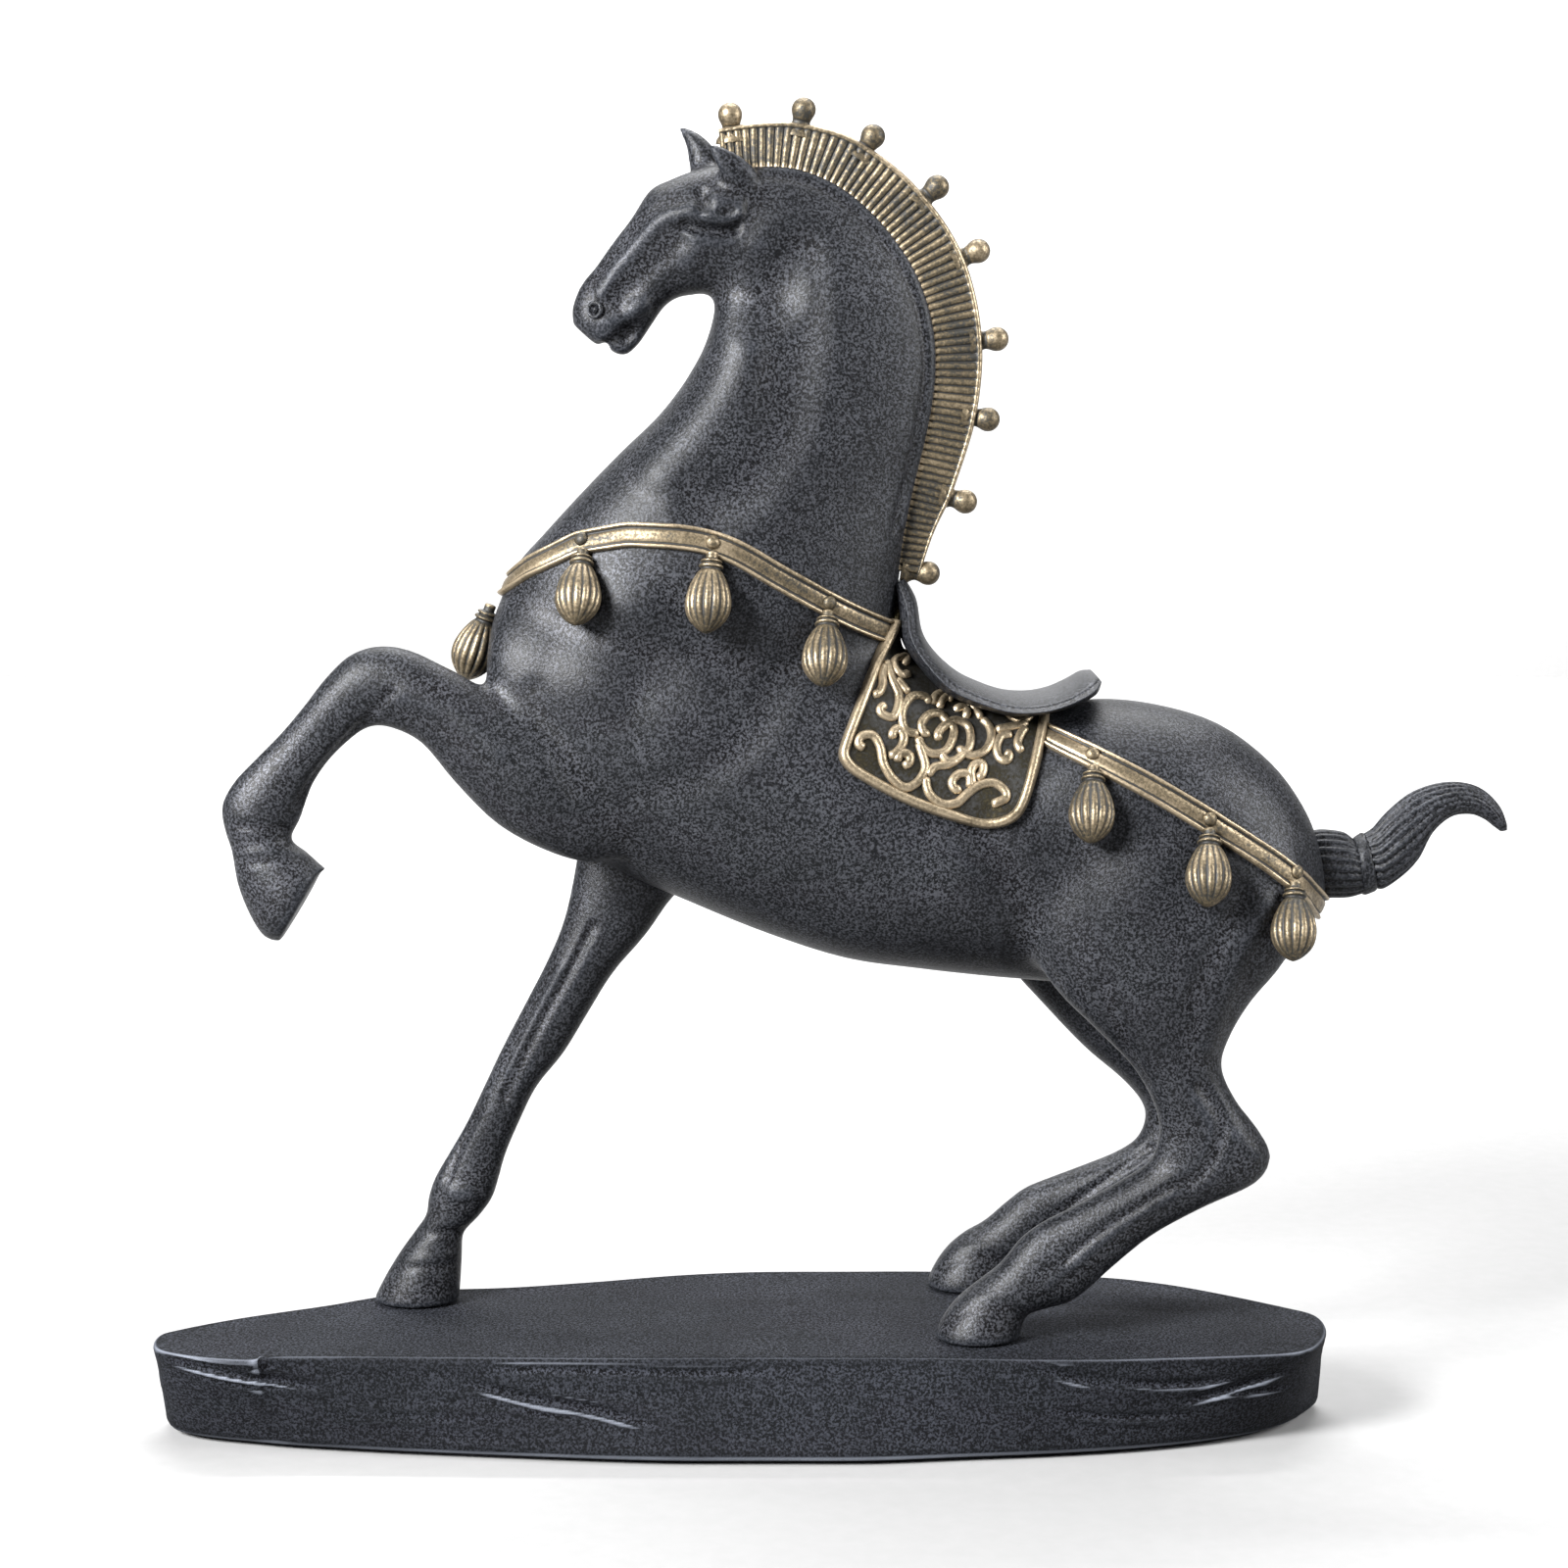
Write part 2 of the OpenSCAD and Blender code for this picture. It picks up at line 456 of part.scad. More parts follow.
module left_hind_leg() { hind_leg_solid(left_hind, -1); }
module right_hind_leg() { hind_leg_solid(right_hind, 1); }
module tail_dock() {
    color(black) one_mesh() difference() {
        loft(dock, 20, 2);
        loft(torso, 24, 2, seam);
        tail_dowel(clear);
    }
}
module tail_tie() {
    color(black) one_mesh() difference() {
        loft(tie, 20, 2);
        loft(dock, 20, 2, seam);
    }
}
module tail_plume() {
    color(black) one_mesh() difference() {
        loft(plume, 16, 3);
        loft(tie, 20, 2, seam);
        loft(dock, 20, 2, seam);
    }
}

// ---- mane -------------------------------------------------------------------------------------

crest_line = smooth_open([for (p = crest) p * size_k], 4);
crest_n = len(crest_line) - 1;
function crest_out(i) = let (t = pick(crest_line, i + 1) - pick(crest_line, i - 1)) [-t[1], t[0]] / norm(t);
// The comb is a little lower over the poll and runs down to less than half height at the withers.
function comb_h(i) = mane_h * lookup(i / crest_n, [[0, 0.8], [0.1, 0.9], [0.2, 1], [0.3, 1.04], [0.45, 1.04],
    [0.6, 0.98], [0.72, 0.93], [0.85, 0.77], [0.93, 0.58], [1, 0.45]]);
comb_top = [for (i = [0 : crest_n]) crest_line[i] + crest_out(i) * comb_h(i)];
// Distances along the comb's top, from the poll.
function run(v, i) = i == 0 ? 0 : run(v, i - 1) + norm(v[i] - v[i - 1]);
comb_runs = [for (i = [0 : crest_n]) run(comb_top, i)];
function at_run(d) = min([for (i = [0 : crest_n]) if (comb_runs[i] >= d || i == crest_n) i]);
module mane_comb() {
    color(gilt) one_mesh() difference() {
        translate([0, mane_t / 2, deck_z]) rotate([90, 0, 0]) linear_extrude(mane_t) polygon([
            each comb_top, for (i = [crest_n : -1 : 0]) crest_line[i] - crest_out(i) * 3
        ]);
        loft(neck, 24, 2, seam);
        head_solid(seam);
        ear_solid(near_ear, -1);
        ear_solid(far_ear, 1);
    }
}
module mane_balls() {
    first = ball_d * 0.45;
    last = comb_runs[crest_n] - ball_d * 0.45;
    color(gilt) for (b = [0 : ball_count - 1]) let (
        d = first + b * (last - first) / (ball_count - 1), i = at_run(d), j = max(i - 1, 0),
        f = (d - comb_runs[j]) / max(comb_runs[i] - comb_runs[j], 0.01),
        out = crest_out(j) * (1 - f) + crest_out(i) * f,
        p = comb_top[j] * (1 - f) + comb_top[i] * f + out * seam, a = atan2(out[1], out[0])
    ) translate([p[0], 0, deck_z + p[1]]) rotate([0, 90 - a, 0]) rotate_extrude($fn = 32) polygon([
        [0, 0], [ball_d * 0.42, 0], [ball_d * 0.36, ball_neck * 0.5],
        for (k = [-50 : 14 : 76]) ball_d / 2 * [cos(k), sin(k)] + [0, ball_neck + ball_d * 0.38],
        [0, ball_neck + ball_d * 0.88]
    ]);
}

// ---- harness ----------------------------------------------------------------------------------

module breast_strap() {
    color(gilt) one_mesh() difference() {
        intersection() {
            body(strap_t);
            band(breast_line, strap_w);
        }
        body(seam);
        saddle_cloth_solid(cloth_t + seam, seam);
    }
}
module crupper_strap() {
    color(gilt) one_mesh() difference() {
        intersection() {
            union() { loft(torso, 24, 2, strap_t); haunches(strap_t); }
            band(crupper_line, strap_w);
        }
        loft(torso, 24, 2, seam);
        haunches(seam);
        saddle_cloth_solid(cloth_t + seam, seam);
        loft(dock, 20, 2, seam);
    }
}
// Sets its children on the body's side, their +Z along the outward normal, off a given distance.
module on_side(p, side, off) {
    q = p * size_k;
    reach = 2;   // distance either way over which the body's slope is taken
    nx = body_y(q - [reach, 0]) - body_y(q + [reach, 0]);
    nz = body_y(q - [0, reach]) - body_y(q + [0, reach]);
    v = [nx, 2 * reach * side, nz] / norm([nx, 2 * reach, nz]);
    translate([q[0], side * body_y(q), deck_z + q[1]] + v * off)
        rotate(a = acos(v[2]), v = [-v[1], v[0], 0]) children();
}
// Domed rivets stand on the strap's face on both sides.
module rivets(list) {
    color(gilt) for (p = list, side = [-1, 1]) on_side(p, side, strap_t + 0.1)
        rotate_extrude($fn = 32) polygon([[0, 0], [rivet_d / 2, 0], [rivet_d / 2, 0.5],
            for (k = [20 : 20 : 80]) [rivet_d / 2 * cos(k), 0.5 + rivet_d * 0.32 * sin(k)],
            [0, 0.5 + rivet_d * 0.34]]);
}
module breast_rivets() { rivets(breast_rivet_at); }
module crupper_rivets() { rivets(crupper_rivet_at); }
// A tassel: cord, bound collar and a pear-shaped bunch, hanging down -Z from its origin.
module tassel() {
    r = tassel_d / 2;
    l = tassel_l;
    rotate_extrude($fn = 40) polygon([[0, 0], [0.8, 0], [0.8, -0.12 * l], [0.3 * r, -0.14 * l],
        [0.42 * r, -0.24 * l], [0.55 * r, -0.28 * l], [0.52 * r, -0.32 * l], [0.74 * r, -0.43 * l],
        [0.95 * r, -0.57 * l], [r, -0.68 * l], [0.94 * r, -0.79 * l], [0.7 * r, -0.9 * l],
        [0.32 * r, -0.975 * l], [0, -l]]);
}
// Hangs a tassel below a strap so that its cord and its belly both clear the body.
module hung(p, side) {
    top = p * size_k + [0, -strap_w / 2 - 0.3];
    low = top + [-0.06, -0.68] * tassel_l;
    y0 = body_y(top) + 1.4;
    y1 = max(body_y(low), body_y(low + [0, 4]), body_y(low - [0, 4])) + tassel_d / 2 + 0.5;
    dz = top[1] - low[1];
    translate([top[0], side * y0, deck_z + top[1]])
        rotate([side * atan2(y1 - y0, dz), atan2(top[0] - low[0], dz), 0]) tassel();
}
module breast_tassels() {
    r = tassel_d / 2;
    color(gilt) {
        for (p = breast_rivet_at, side = [-1, 1]) hung(p, side);
        translate([-67.5 * size_k - 0.3 * r - strap_t, 0, deck_z + 206 * size_k]) rotate([0, 12, 0]) tassel();
    }
}
module crupper_tassels() { color(gilt) for (p = crupper_rivet_at, side = [-1, 1]) hung(p, side); }

// ---- saddle -----------------------------------------------------------------------------------

function seat_sections() = [for (s = seat) [s[0], s[1], s[2], s[3], 0, s[5] * seat_w / 2 / width_k, 0]];
module seat_solid(grow = 0) { loft(seat_sections(), 20, 2, grow); }
module saddle_seat() {
    color(black) one_mesh() difference() {
        seat_solid((seat_t - drawn_seat_t) / 2);
        saddle_cloth_solid(cloth_t + seam, 0);
        body(seam);
    }
}
function cloth_points(inset = 0) = let (v = smooth_open([for (p = cloth_edge) p * size_k], 3),
    c = [58, 182] * size_k) [for (p = v) p + (c - p) / norm(c - p) * inset];
module cloth_shape(inset = 0) {
    v = cloth_points(inset);
    polygon([each v, [92, 192] * size_k, [70, 196] * size_k, [56, 205] * size_k, [44, 209] * size_k]);
}
module saddle_cloth_solid(grow, over = 0) {
    intersection() {
        body(grow);
        from_side() cloth_shape(-over);
    }
}
module saddle_cloth() {
    color("#4a4636") one_mesh() difference() {
        saddle_cloth_solid(cloth_t);
        body(seam);
    }
}
module cloth_border() {
    color(gilt) one_mesh() difference() {
        saddle_cloth_solid(cloth_t + border_t);
        body(cloth_t + seam);
        from_side() cloth_shape(border_w);
        seat_solid(seam);
    }
}
// Scrolls are spirals and arcs drawn with a round pen, in side-view coordinates on the cloth.
function spiral(c, r0, r1, a0, a1, n = 10) = [for (i = [0 : n]) let (t = i / n, a = a0 + (a1 - a0) * t)
    c + (r0 + (r1 - r0) * t) * [cos(a), sin(a)]];
module stroke(v, w) {
    n = len(v) - 1;
    function off(i, s) = let (t = pick(v, i + 1) - pick(v, i - 1)) v[i] + s * [-t[1], t[0]] / norm(t) * w / 2;
    polygon([for (i = [0 : n]) off(i, 1), for (i = [n : -1 : 0]) off(i, -1)]);
    for (e = [0, n]) translate(v[e]) circle(d = w * 1.25, $fn = 10);
}
scroll_lines = [
    spiral([52, 170.5], 6.2, 6.2, 40, 250), spiral([62.5, 170.5], 6.2, 6.2, -70, 150),
    spiral([57, 177], 5.2, 5.2, -20, 200), spiral([57, 164.5], 5.4, 5.4, 170, 370),
    spiral([54.5, 170.8], 4.4, 1.6, 60, 420), spiral([60, 169], 4.4, 1.6, 240, 600),
    spiral([44.5, 166.5], 5.4, 1.5, 230, -160), spiral([39.5, 176], 4.8, 1.4, -60, 300),
    spiral([46, 183.5], 5, 1.4, -100, 280), spiral([50, 158.5], 5.6, 1.6, 150, 520),
    spiral([64, 155.5], 5.8, 1.6, 130, 500), spiral([73.5, 160], 4.8, 1.4, 240, -120),
    spiral([74, 172], 4.8, 1.4, -100, 280), spiral([36.5, 168.5], 4.2, 1.3, 40, 360)
];
module scrollwork(side) {
    color("#b8945c") one_mesh() difference() {
        intersection() {
            body(cloth_t + scroll_t);
            from_side(side) scale(size_k) {
                for (v = scroll_lines) stroke(v, scroll_w / size_k);
            }
            from_side(side) cloth_shape(border_w + 0.3);
        }
        body(cloth_t + seam);
        seat_solid(seam);
    }
}
module left_scrollwork() { scrollwork(-1); }
module right_scrollwork() { scrollwork(1); }

rock_plinth();
felt_pad();
torso_casting();
neck_casting();
head_casting();
left_ear();
right_ear();
left_foreleg();
right_foreleg();
left_hind_leg();
right_hind_leg();
tail_dock();
tail_tie();
tail_plume();
mane_comb();
mane_balls();
breast_strap();
breast_rivets();
breast_tassels();
saddle_seat();
saddle_cloth();
cloth_border();
left_scrollwork();
right_scrollwork();
crupper_strap();
crupper_rivets();
crupper_tassels();
hoof_studs();
stud_washers();
stud_nuts();
head_dowel();
foreleg_dowel();
tail_dowel();
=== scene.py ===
# Rearing horse statuette in parade harness, on a rock plinth.
# Side-view points are (x, z) in millimetres, with z counted from the deck that the hooves stand on.
import math

import bpy
import numpy as np
from mathutils import Matrix, Vector, noise
from mathutils.bvhtree import BVHTree


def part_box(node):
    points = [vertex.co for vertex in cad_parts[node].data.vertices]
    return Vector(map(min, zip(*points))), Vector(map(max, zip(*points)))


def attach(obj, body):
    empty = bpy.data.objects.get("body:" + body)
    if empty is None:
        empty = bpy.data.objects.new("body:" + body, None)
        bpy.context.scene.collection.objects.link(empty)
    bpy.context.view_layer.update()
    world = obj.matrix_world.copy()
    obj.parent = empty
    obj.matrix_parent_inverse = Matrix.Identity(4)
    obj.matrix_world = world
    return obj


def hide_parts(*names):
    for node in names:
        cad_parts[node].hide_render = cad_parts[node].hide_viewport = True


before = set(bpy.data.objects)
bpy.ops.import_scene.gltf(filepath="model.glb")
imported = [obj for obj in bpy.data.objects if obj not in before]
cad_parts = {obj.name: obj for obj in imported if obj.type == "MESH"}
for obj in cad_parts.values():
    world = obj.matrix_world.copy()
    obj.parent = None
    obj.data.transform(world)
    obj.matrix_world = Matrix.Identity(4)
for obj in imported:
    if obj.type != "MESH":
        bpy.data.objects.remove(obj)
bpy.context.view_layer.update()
bpy.ops.object.select_all(action="DESELECT")
mm = 0.001
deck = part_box("rock_plinth")[1].z / mm  # 29 mm above the shelf
print("frame loaded, deck at", round(deck, 2), "mm")


# ---- meshes ----

def newPiece(name, points, faces):
    # points are in millimetres from the shelf
    mesh = bpy.data.meshes.new(name)
    mesh.from_pydata((np.asarray(points, float) * mm).tolist(), [], [list(map(int, f)) for f in faces])
    piece = bpy.data.objects.new(name, mesh)
    bpy.context.collection.objects.link(piece)
    return piece


def pickOut(piece):
    bpy.ops.object.select_all(action="DESELECT")
    piece.select_set(True)
    bpy.context.view_layer.objects.active = piece


def applyModifier(piece, kind, **settings):
    pickOut(piece)
    modifier = piece.modifiers.new(kind.title(), kind)
    for key, value in settings.items():
        setattr(modifier, key, value)
    bpy.ops.object.modifier_apply(modifier=modifier.name)


def turnFacesOut(piece):
    pickOut(piece)
    bpy.ops.object.mode_set(mode="EDIT")
    bpy.ops.mesh.select_all(action="SELECT")
    bpy.ops.mesh.remove_doubles(threshold=0.000001)
    bpy.ops.mesh.normals_make_consistent(inside=False)
    bpy.ops.object.mode_set(mode="OBJECT")


def joinPieces(name, parts):
    bpy.ops.object.select_all(action="DESELECT")
    for part in parts:
        part.select_set(True)
    bpy.context.view_layer.objects.active = parts[0]
    bpy.ops.object.join()
    whole = bpy.context.view_layer.objects.active
    whole.name = whole.data.name = name
    return whole


def coordinates(mesh):
    co = np.empty(len(mesh.vertices) * 3)
    mesh.vertices.foreach_get("co", co)
    return co.reshape(-1, 3) / mm


def moveTo(mesh, co):
    mesh.vertices.foreach_set("co", (co * mm).ravel())
    mesh.update()


def vertexNormals(mesh):
    normals = np.empty(len(mesh.vertices) * 3)
    mesh.vertex_normals.foreach_get("vector", normals)
    return normals.reshape(-1, 3)


def edgeEnds(mesh):
    ends = np.empty(len(mesh.edges) * 2, int)
    mesh.edges.foreach_get("vertices", ends)
    return ends.reshape(-1, 2)


def neighbourMean(field, ends, degree):
    a, b = ends[:, 0], ends[:, 1]
    count = len(field)
    columns = field.reshape(count, -1)
    summed = np.stack([np.bincount(a, c[b], count) + np.bincount(b, c[a], count) for c in columns.T], 1)
    return (summed / degree[:, None]).reshape(field.shape)


def setWear(mesh, wear):
    mesh.attributes.new("wear", "FLOAT", "POINT").data.foreach_set("value", wear)


def markWear(piece, reach=0.12, rounds=3, calm=0):
    # "wear" is 1 on ridges, 0 in hollows and 0.5 on flat metal, from how the skin curves; calm
    # takes off the curve of the form itself
    mesh = piece.data
    co, normals, ends = coordinates(mesh), vertexNormals(mesh), edgeEnds(mesh)
    degree = np.maximum(np.bincount(ends.ravel(), minlength=len(co)), 1)
    curve = -((neighbourMean(co, ends, degree) - co) * normals).sum(1)
    for _ in range(rounds):
        curve = 0.4 * curve + 0.6 * neighbourMean(curve, ends, degree)
    broad = curve if calm else 0
    for _ in range(calm):
        broad = neighbourMean(broad, ends, degree)
    setWear(mesh, np.clip(0.5 + 0.5 * (curve - broad) / reach, 0, 1))


def smoothCurve(points, steps):
    # passes through every point
    p = np.array(points, float)
    last = len(p) - 1
    line = []
    for i in range(last):
        a, b, c, d = p[max(i - 1, 0)], p[i], p[i + 1], p[min(i + 2, last)]
        for t in np.arange(steps) / steps:
            line.append(0.5 * (2 * b + (c - a) * t + (2 * a - 5 * b + 4 * c - d) * t * t
                               + (3 * b - a - 3 * c + d) * t ** 3))
    line.append(p[-1])
    return np.array(line)


def lengthAlong(line):
    return np.concatenate([[0], np.cumsum(np.linalg.norm(np.diff(line, axis=0), axis=1))])


def pointsAt(at, run, line):
    return np.stack([np.interp(at, run, line[:, k]) for k in range(line.shape[1])], 1)


def evenCurve(points, pitch):
    # the same curve with points every pitch millimetres
    dense = smoothCurve(points, 24)
    run = lengthAlong(dense)
    return pointsAt(np.linspace(0, run[-1], max(int(run[-1] / pitch), 2) + 1), run, dense)


def bridgeRings(rings):
    # rings of equal length become one skin; each end is closed by a single face
    count = len(rings[0])
    i, k = np.meshgrid(np.arange(len(rings) - 1), np.arange(count), indexing="ij")
    a, b = i * count + k, i * count + (k + 1) % count
    faces = np.stack([a, a + count, b + count, b], -1).reshape(-1, 4).tolist()
    faces.append(list(range(count)))
    faces.append(list(range((len(rings) - 1) * count, len(rings) * count))[::-1])
    return np.concatenate(rings), faces


# A section is (x1, z1, x2, z2, half width, y, egg): points 1 and 2 are its front or top and its
# back or bottom in side view, and a positive egg makes the side of point 2 fuller. Where y and egg
# are left out they are 0.
def sectionRing(section, count, side, swell=None):
    x1, z1, x2, z2, half, y, egg = section
    angle = np.linspace(0, 2 * math.pi, count, endpoint=False)
    grow = 1 if swell is None else swell(angle)
    c, w = np.cos(angle) * grow, np.sin(angle) * grow
    return np.stack([(x1 + x2) / 2 + c * (x1 - x2) / 2, side * (y + half * w * (1 - egg * c)),
                     deck + (z1 + z2) / 2 + c * (z1 - z2) / 2], 1)


def drawSkin(name, sections, count=48, steps=4, side=1, swell=None):
    # a cast form is a skin drawn over cross-sections, which no primitive can give
    stations = smoothCurve([section + (0,) * (7 - len(section)) for section in sections], steps)
    share = np.linspace(0, 1, len(stations))
    rings = [sectionRing(s, count, side, None if swell is None else (lambda a, t=t: swell(t, a)))
             for s, t in zip(stations, share)]
    piece = newPiece(name, *bridgeRings(rings))
    turnFacesOut(piece)
    return piece


# ---- materials ----

def linear(code):
    channels = [int(code[i:i + 2], 16) / 255 for i in (1, 3, 5)]
    return [c / 12.92 if c <= 0.04045 else ((c + 0.055) / 1.055) ** 2.4 for c in channels] + [1]


def addNode(tree, kind, settings=None, inputs=None):
    node = tree.nodes.new("ShaderNode" + kind)
    for key, value in (settings or {}).items():
        setattr(node, key, value)
    for key, value in (inputs or {}).items():
        if isinstance(value, bpy.types.NodeSocket):
            tree.links.new(value, node.inputs[key])
        else:
            node.inputs[key].default_value = value
    return node


def newMaterial(name):
    material = bpy.data.materials.new(name)
    material.use_nodes = True
    tree = material.node_tree
    return material, tree, tree.nodes["Principled BSDF"]


def speckle(tree, size, detail=3):
    # noise whose grains are about size millimetres wide
    where = addNode(tree, "TexCoord").outputs["Object"]
    return addNode(tree, "TexNoise", None, {"Vector": where, "Scale": 1 / (size * mm), "Detail": detail,
                                            "Roughness": 0.6}).outputs["Fac"]


def ranged(tree, value, low, high, toLow=0.0, toHigh=1.0):
    return addNode(tree, "MapRange", None, {"Value": value, "From Min": low, "From Max": high,
                                            "To Min": toLow, "To Max": toHigh}).outputs["Result"]


def mixColour(tree, share, first, second):
    return addNode(tree, "Mix", {"data_type": "RGBA"}, {0: share, 6: first, 7: second}).outputs[2]


def product(tree, a, b):
    return addNode(tree, "Math", {"operation": "MULTIPLY"}, {0: a, 1: b}).outputs[0]


def total(tree, a, b):
    return addNode(tree, "Math", {"operation": "ADD"}, {0: a, 1: b}).outputs[0]


def bumped(tree, height, strength, rise):
    # rise in millimetres
    settings = {"Strength": strength, "Distance": rise * mm, "Height": height}
    return addNode(tree, "Bump", None, settings).outputs["Normal"]


def feed(tree, shader, values):
    for socket, value in values.items():
        tree.links.new(value, shader.inputs[socket])


def wearOf(tree):
    return addNode(tree, "Attribute", {"attribute_name": "wear"}).outputs["Fac"]


patina = {"deep": "#020203", "body": "#060709", "grain": "#64666d", "grainSize": 0.7, "patchSize": 26,
          "edge": "#16181c", "cover": 0.25, "roughness": (0.42, 0.42), "bump": 0.6, "shine": 0.14}
# the rock's edge colour is a light grey laid along every sharp ridge and ledge edge
rock = {"deep": "#040405", "body": "#0a0b0d", "grain": "#555862", "grainSize": 0.7, "patchSize": 40,
        "edge": "#6c7079", "cover": 0.17, "roughness": (0.8, 0.65), "bump": 0.6, "shine": 0.06}
gold = {"hollow": "#040302", "olive": "#1a1811", "gold": "#5d5342", "bright": "#968872",
        "grainSize": 0.8, "patchSize": 14, "roughness": (0.42, 0.62), "bump": 0.4}
dimGold = {"hollow": "#040403", "olive": "#0c0b08", "gold": "#211e15", "bright": "#443d2a",
           "grainSize": 0.9, "patchSize": 12, "roughness": (0.5, 0.7), "bump": 0.8}


def blackFinish(name, look):
    # sprayed and waxed black patina on cast metal: nearly black, with a cold metallic grain that
    # lights up where a lamp strikes it and stays dark in the hollows
    material, tree, shader = newMaterial(name)
    grain = speckle(tree, look["grainSize"], 4)
    patch = ranged(tree, speckle(tree, look["patchSize"], 2), 0.35, 0.65, 0.6, 1.0)
    wear = wearOf(tree)
    rubbed = product(tree, ranged(tree, wear, 0.36, 0.58, 0.35, look["cover"]), patch)
    dots = product(tree, ranged(tree, grain, 0.45, 0.6), rubbed)
    base = mixColour(tree, ranged(tree, wear, 0.3, 0.52), linear(look["deep"]), linear(look["body"]))
    # the edge colour goes on the sharpest ridges and edges: faint on the patina, a light grey on the
    # rock
    onSharpEdges = product(tree, ranged(tree, wear, 0.72, 1.0), patch)
    base = mixColour(tree, onSharpEdges, base, linear(look["edge"]))
    base = mixColour(tree, dots, base, linear(look["grain"]))
    shader.inputs["Specular IOR Level"].default_value = look["shine"]
    feed(tree, shader, {"Base Color": base, "Roughness": ranged(tree, dots, 0, 1, *look["roughness"]),
                        "Metallic": ranged(tree, dots, 0, 1, 0, 0.9),
                        "Normal": bumped(tree, grain, look["bump"], 0.25)})
    return material


def goldFinish(name, look):
    # gilt wax rubbed over blackened metal: gold on what stands proud, olive on the flats and black
    # in the grooves, broken by a grain of the dark ground
    material, tree, shader = newMaterial(name)
    grain = speckle(tree, look["grainSize"], 4)
    patch = speckle(tree, look["patchSize"], 2)
    wear = wearOf(tree)
    rub = total(tree, wear, ranged(tree, grain, 0.35, 0.65, -0.13, 0.13))
    rub = total(tree, rub, ranged(tree, patch, 0.35, 0.65, -0.12, 0.12))
    base = mixColour(tree, ranged(tree, rub, 0.26, 0.46), linear(look["hollow"]), linear(look["olive"]))
    base = mixColour(tree, ranged(tree, rub, 0.44, 0.64), base, linear(look["gold"]))
    base = mixColour(tree, ranged(tree, rub, 0.64, 0.95), base, linear(look["bright"]))
    low, high = look["roughness"]
    feed(tree, shader, {"Base Color": base, "Metallic": ranged(tree, rub, 0.35, 0.6, 0.1, 0.85),
                        "Roughness": ranged(tree, rub, 0.3, 0.8, high, low),
                        "Normal": bumped(tree, grain, look["bump"], 0.2)})
    return material


def feltFinish():
    # pressed wool felt: dark, wholly matte, with a fuzz of short fibres
    material, tree, shader = newMaterial("pressedWoolFelt")
    fibre = speckle(tree, 0.5, 5)
    base = mixColour(tree, ranged(tree, fibre, 0.35, 0.65), linear("#0f0f11"), linear("#2b2b2f"))
    feed(tree, shader, {"Base Color": base, "Normal": bumped(tree, fibre, 0.6, 0.3)})
    shader.inputs["Roughness"].default_value = 0.95
    return material


def steelFinish():
    # bright zinc plate on steel fixings: cool grey metal with faint turning marks
    material, tree, shader = newMaterial("zincPlatedSteel")
    grain = speckle(tree, 1.2, 3)
    base = mixColour(tree, ranged(tree, grain, 0.3, 0.7), linear("#8e9298"), linear("#b9bdc2"))
    feed(tree, shader, {"Base Color": base, "Roughness": ranged(tree, grain, 0.3, 0.7, 0.28, 0.42)})
    shader.inputs["Metallic"].default_value = 1.0
    return material


blackPatina = blackFinish("blackPatinatedBronze", patina)
rockPatina = blackFinish("blackPatinatedRock", rock)
rubbedGold = goldFinish("giltWaxOnBronze", gold)
dimGilt = goldFinish("darkGiltGround", dimGold)
wornFelt = feltFinish()
zincSteel = steelFinish()
print("materials made")


def finishPiece(piece, material, slotName, *nodes, wear=0.12, rounds=3):
    if "wear" not in piece.data.attributes:
        markWear(piece, wear, rounds)
    pickOut(piece)
    bpy.ops.object.shade_smooth()
    piece.data.materials.clear()
    piece.data.materials.append(material)
    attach(piece, "root")
    if nodes:
        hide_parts(*nodes)


# ---- camera and light ----

lens = {"place": (0.0123, -0.900, 0.300), "tiltDown": 7.34, "focal": 72.9}
camera = bpy.data.objects.new("camera", bpy.data.cameras.new("camera"))
bpy.context.collection.objects.link(camera)
camera.location = lens["place"]
camera.rotation_euler = (math.radians(90 - lens["tiltDown"]), 0, 0)
camera.data.lens = lens["focal"]
camera.data.sensor_width = 36
bpy.context.scene.camera = camera

softboxes = {  # place, aimed at, width, height, watts
    "keySoftbox": ((-0.85, -0.85, 0.8), (0, 0, 0.2), 0.45, 0.45, 98),
    "topSoftbox": ((0.1, 0.15, 1.2), (0, 0, 0.15), 0.9, 0.6, 13),
    "rightSoftbox": ((0.95, -0.3, 0.6), (0.05, 0, 0.15), 0.4, 0.6, 18),
    "backdropLight": ((0, 1.0, 1.9), (0, 2.6, 0.5), 2.0, 0.6, 330),
}
for name, (place, aim, width, height, watts) in softboxes.items():
    light = bpy.data.lights.new(name, "AREA")
    light.shape, light.size, light.size_y, light.energy = "RECTANGLE", width, height, watts
    lamp = bpy.data.objects.new(name, light)
    lamp.location = place
    lamp.rotation_euler = (Vector(aim) - Vector(place)).to_track_quat("-Z", "Y").to_euler()
    bpy.context.collection.objects.link(lamp)

world = bpy.data.worlds.new("studioAir")
world.use_nodes = True
world.node_tree.nodes["Background"].inputs["Color"].default_value = linear("#ffffff")
world.node_tree.nodes["Background"].inputs["Strength"].default_value = 0.1
bpy.context.scene.world = world
bpy.context.scene.view_settings.view_transform = "Standard"

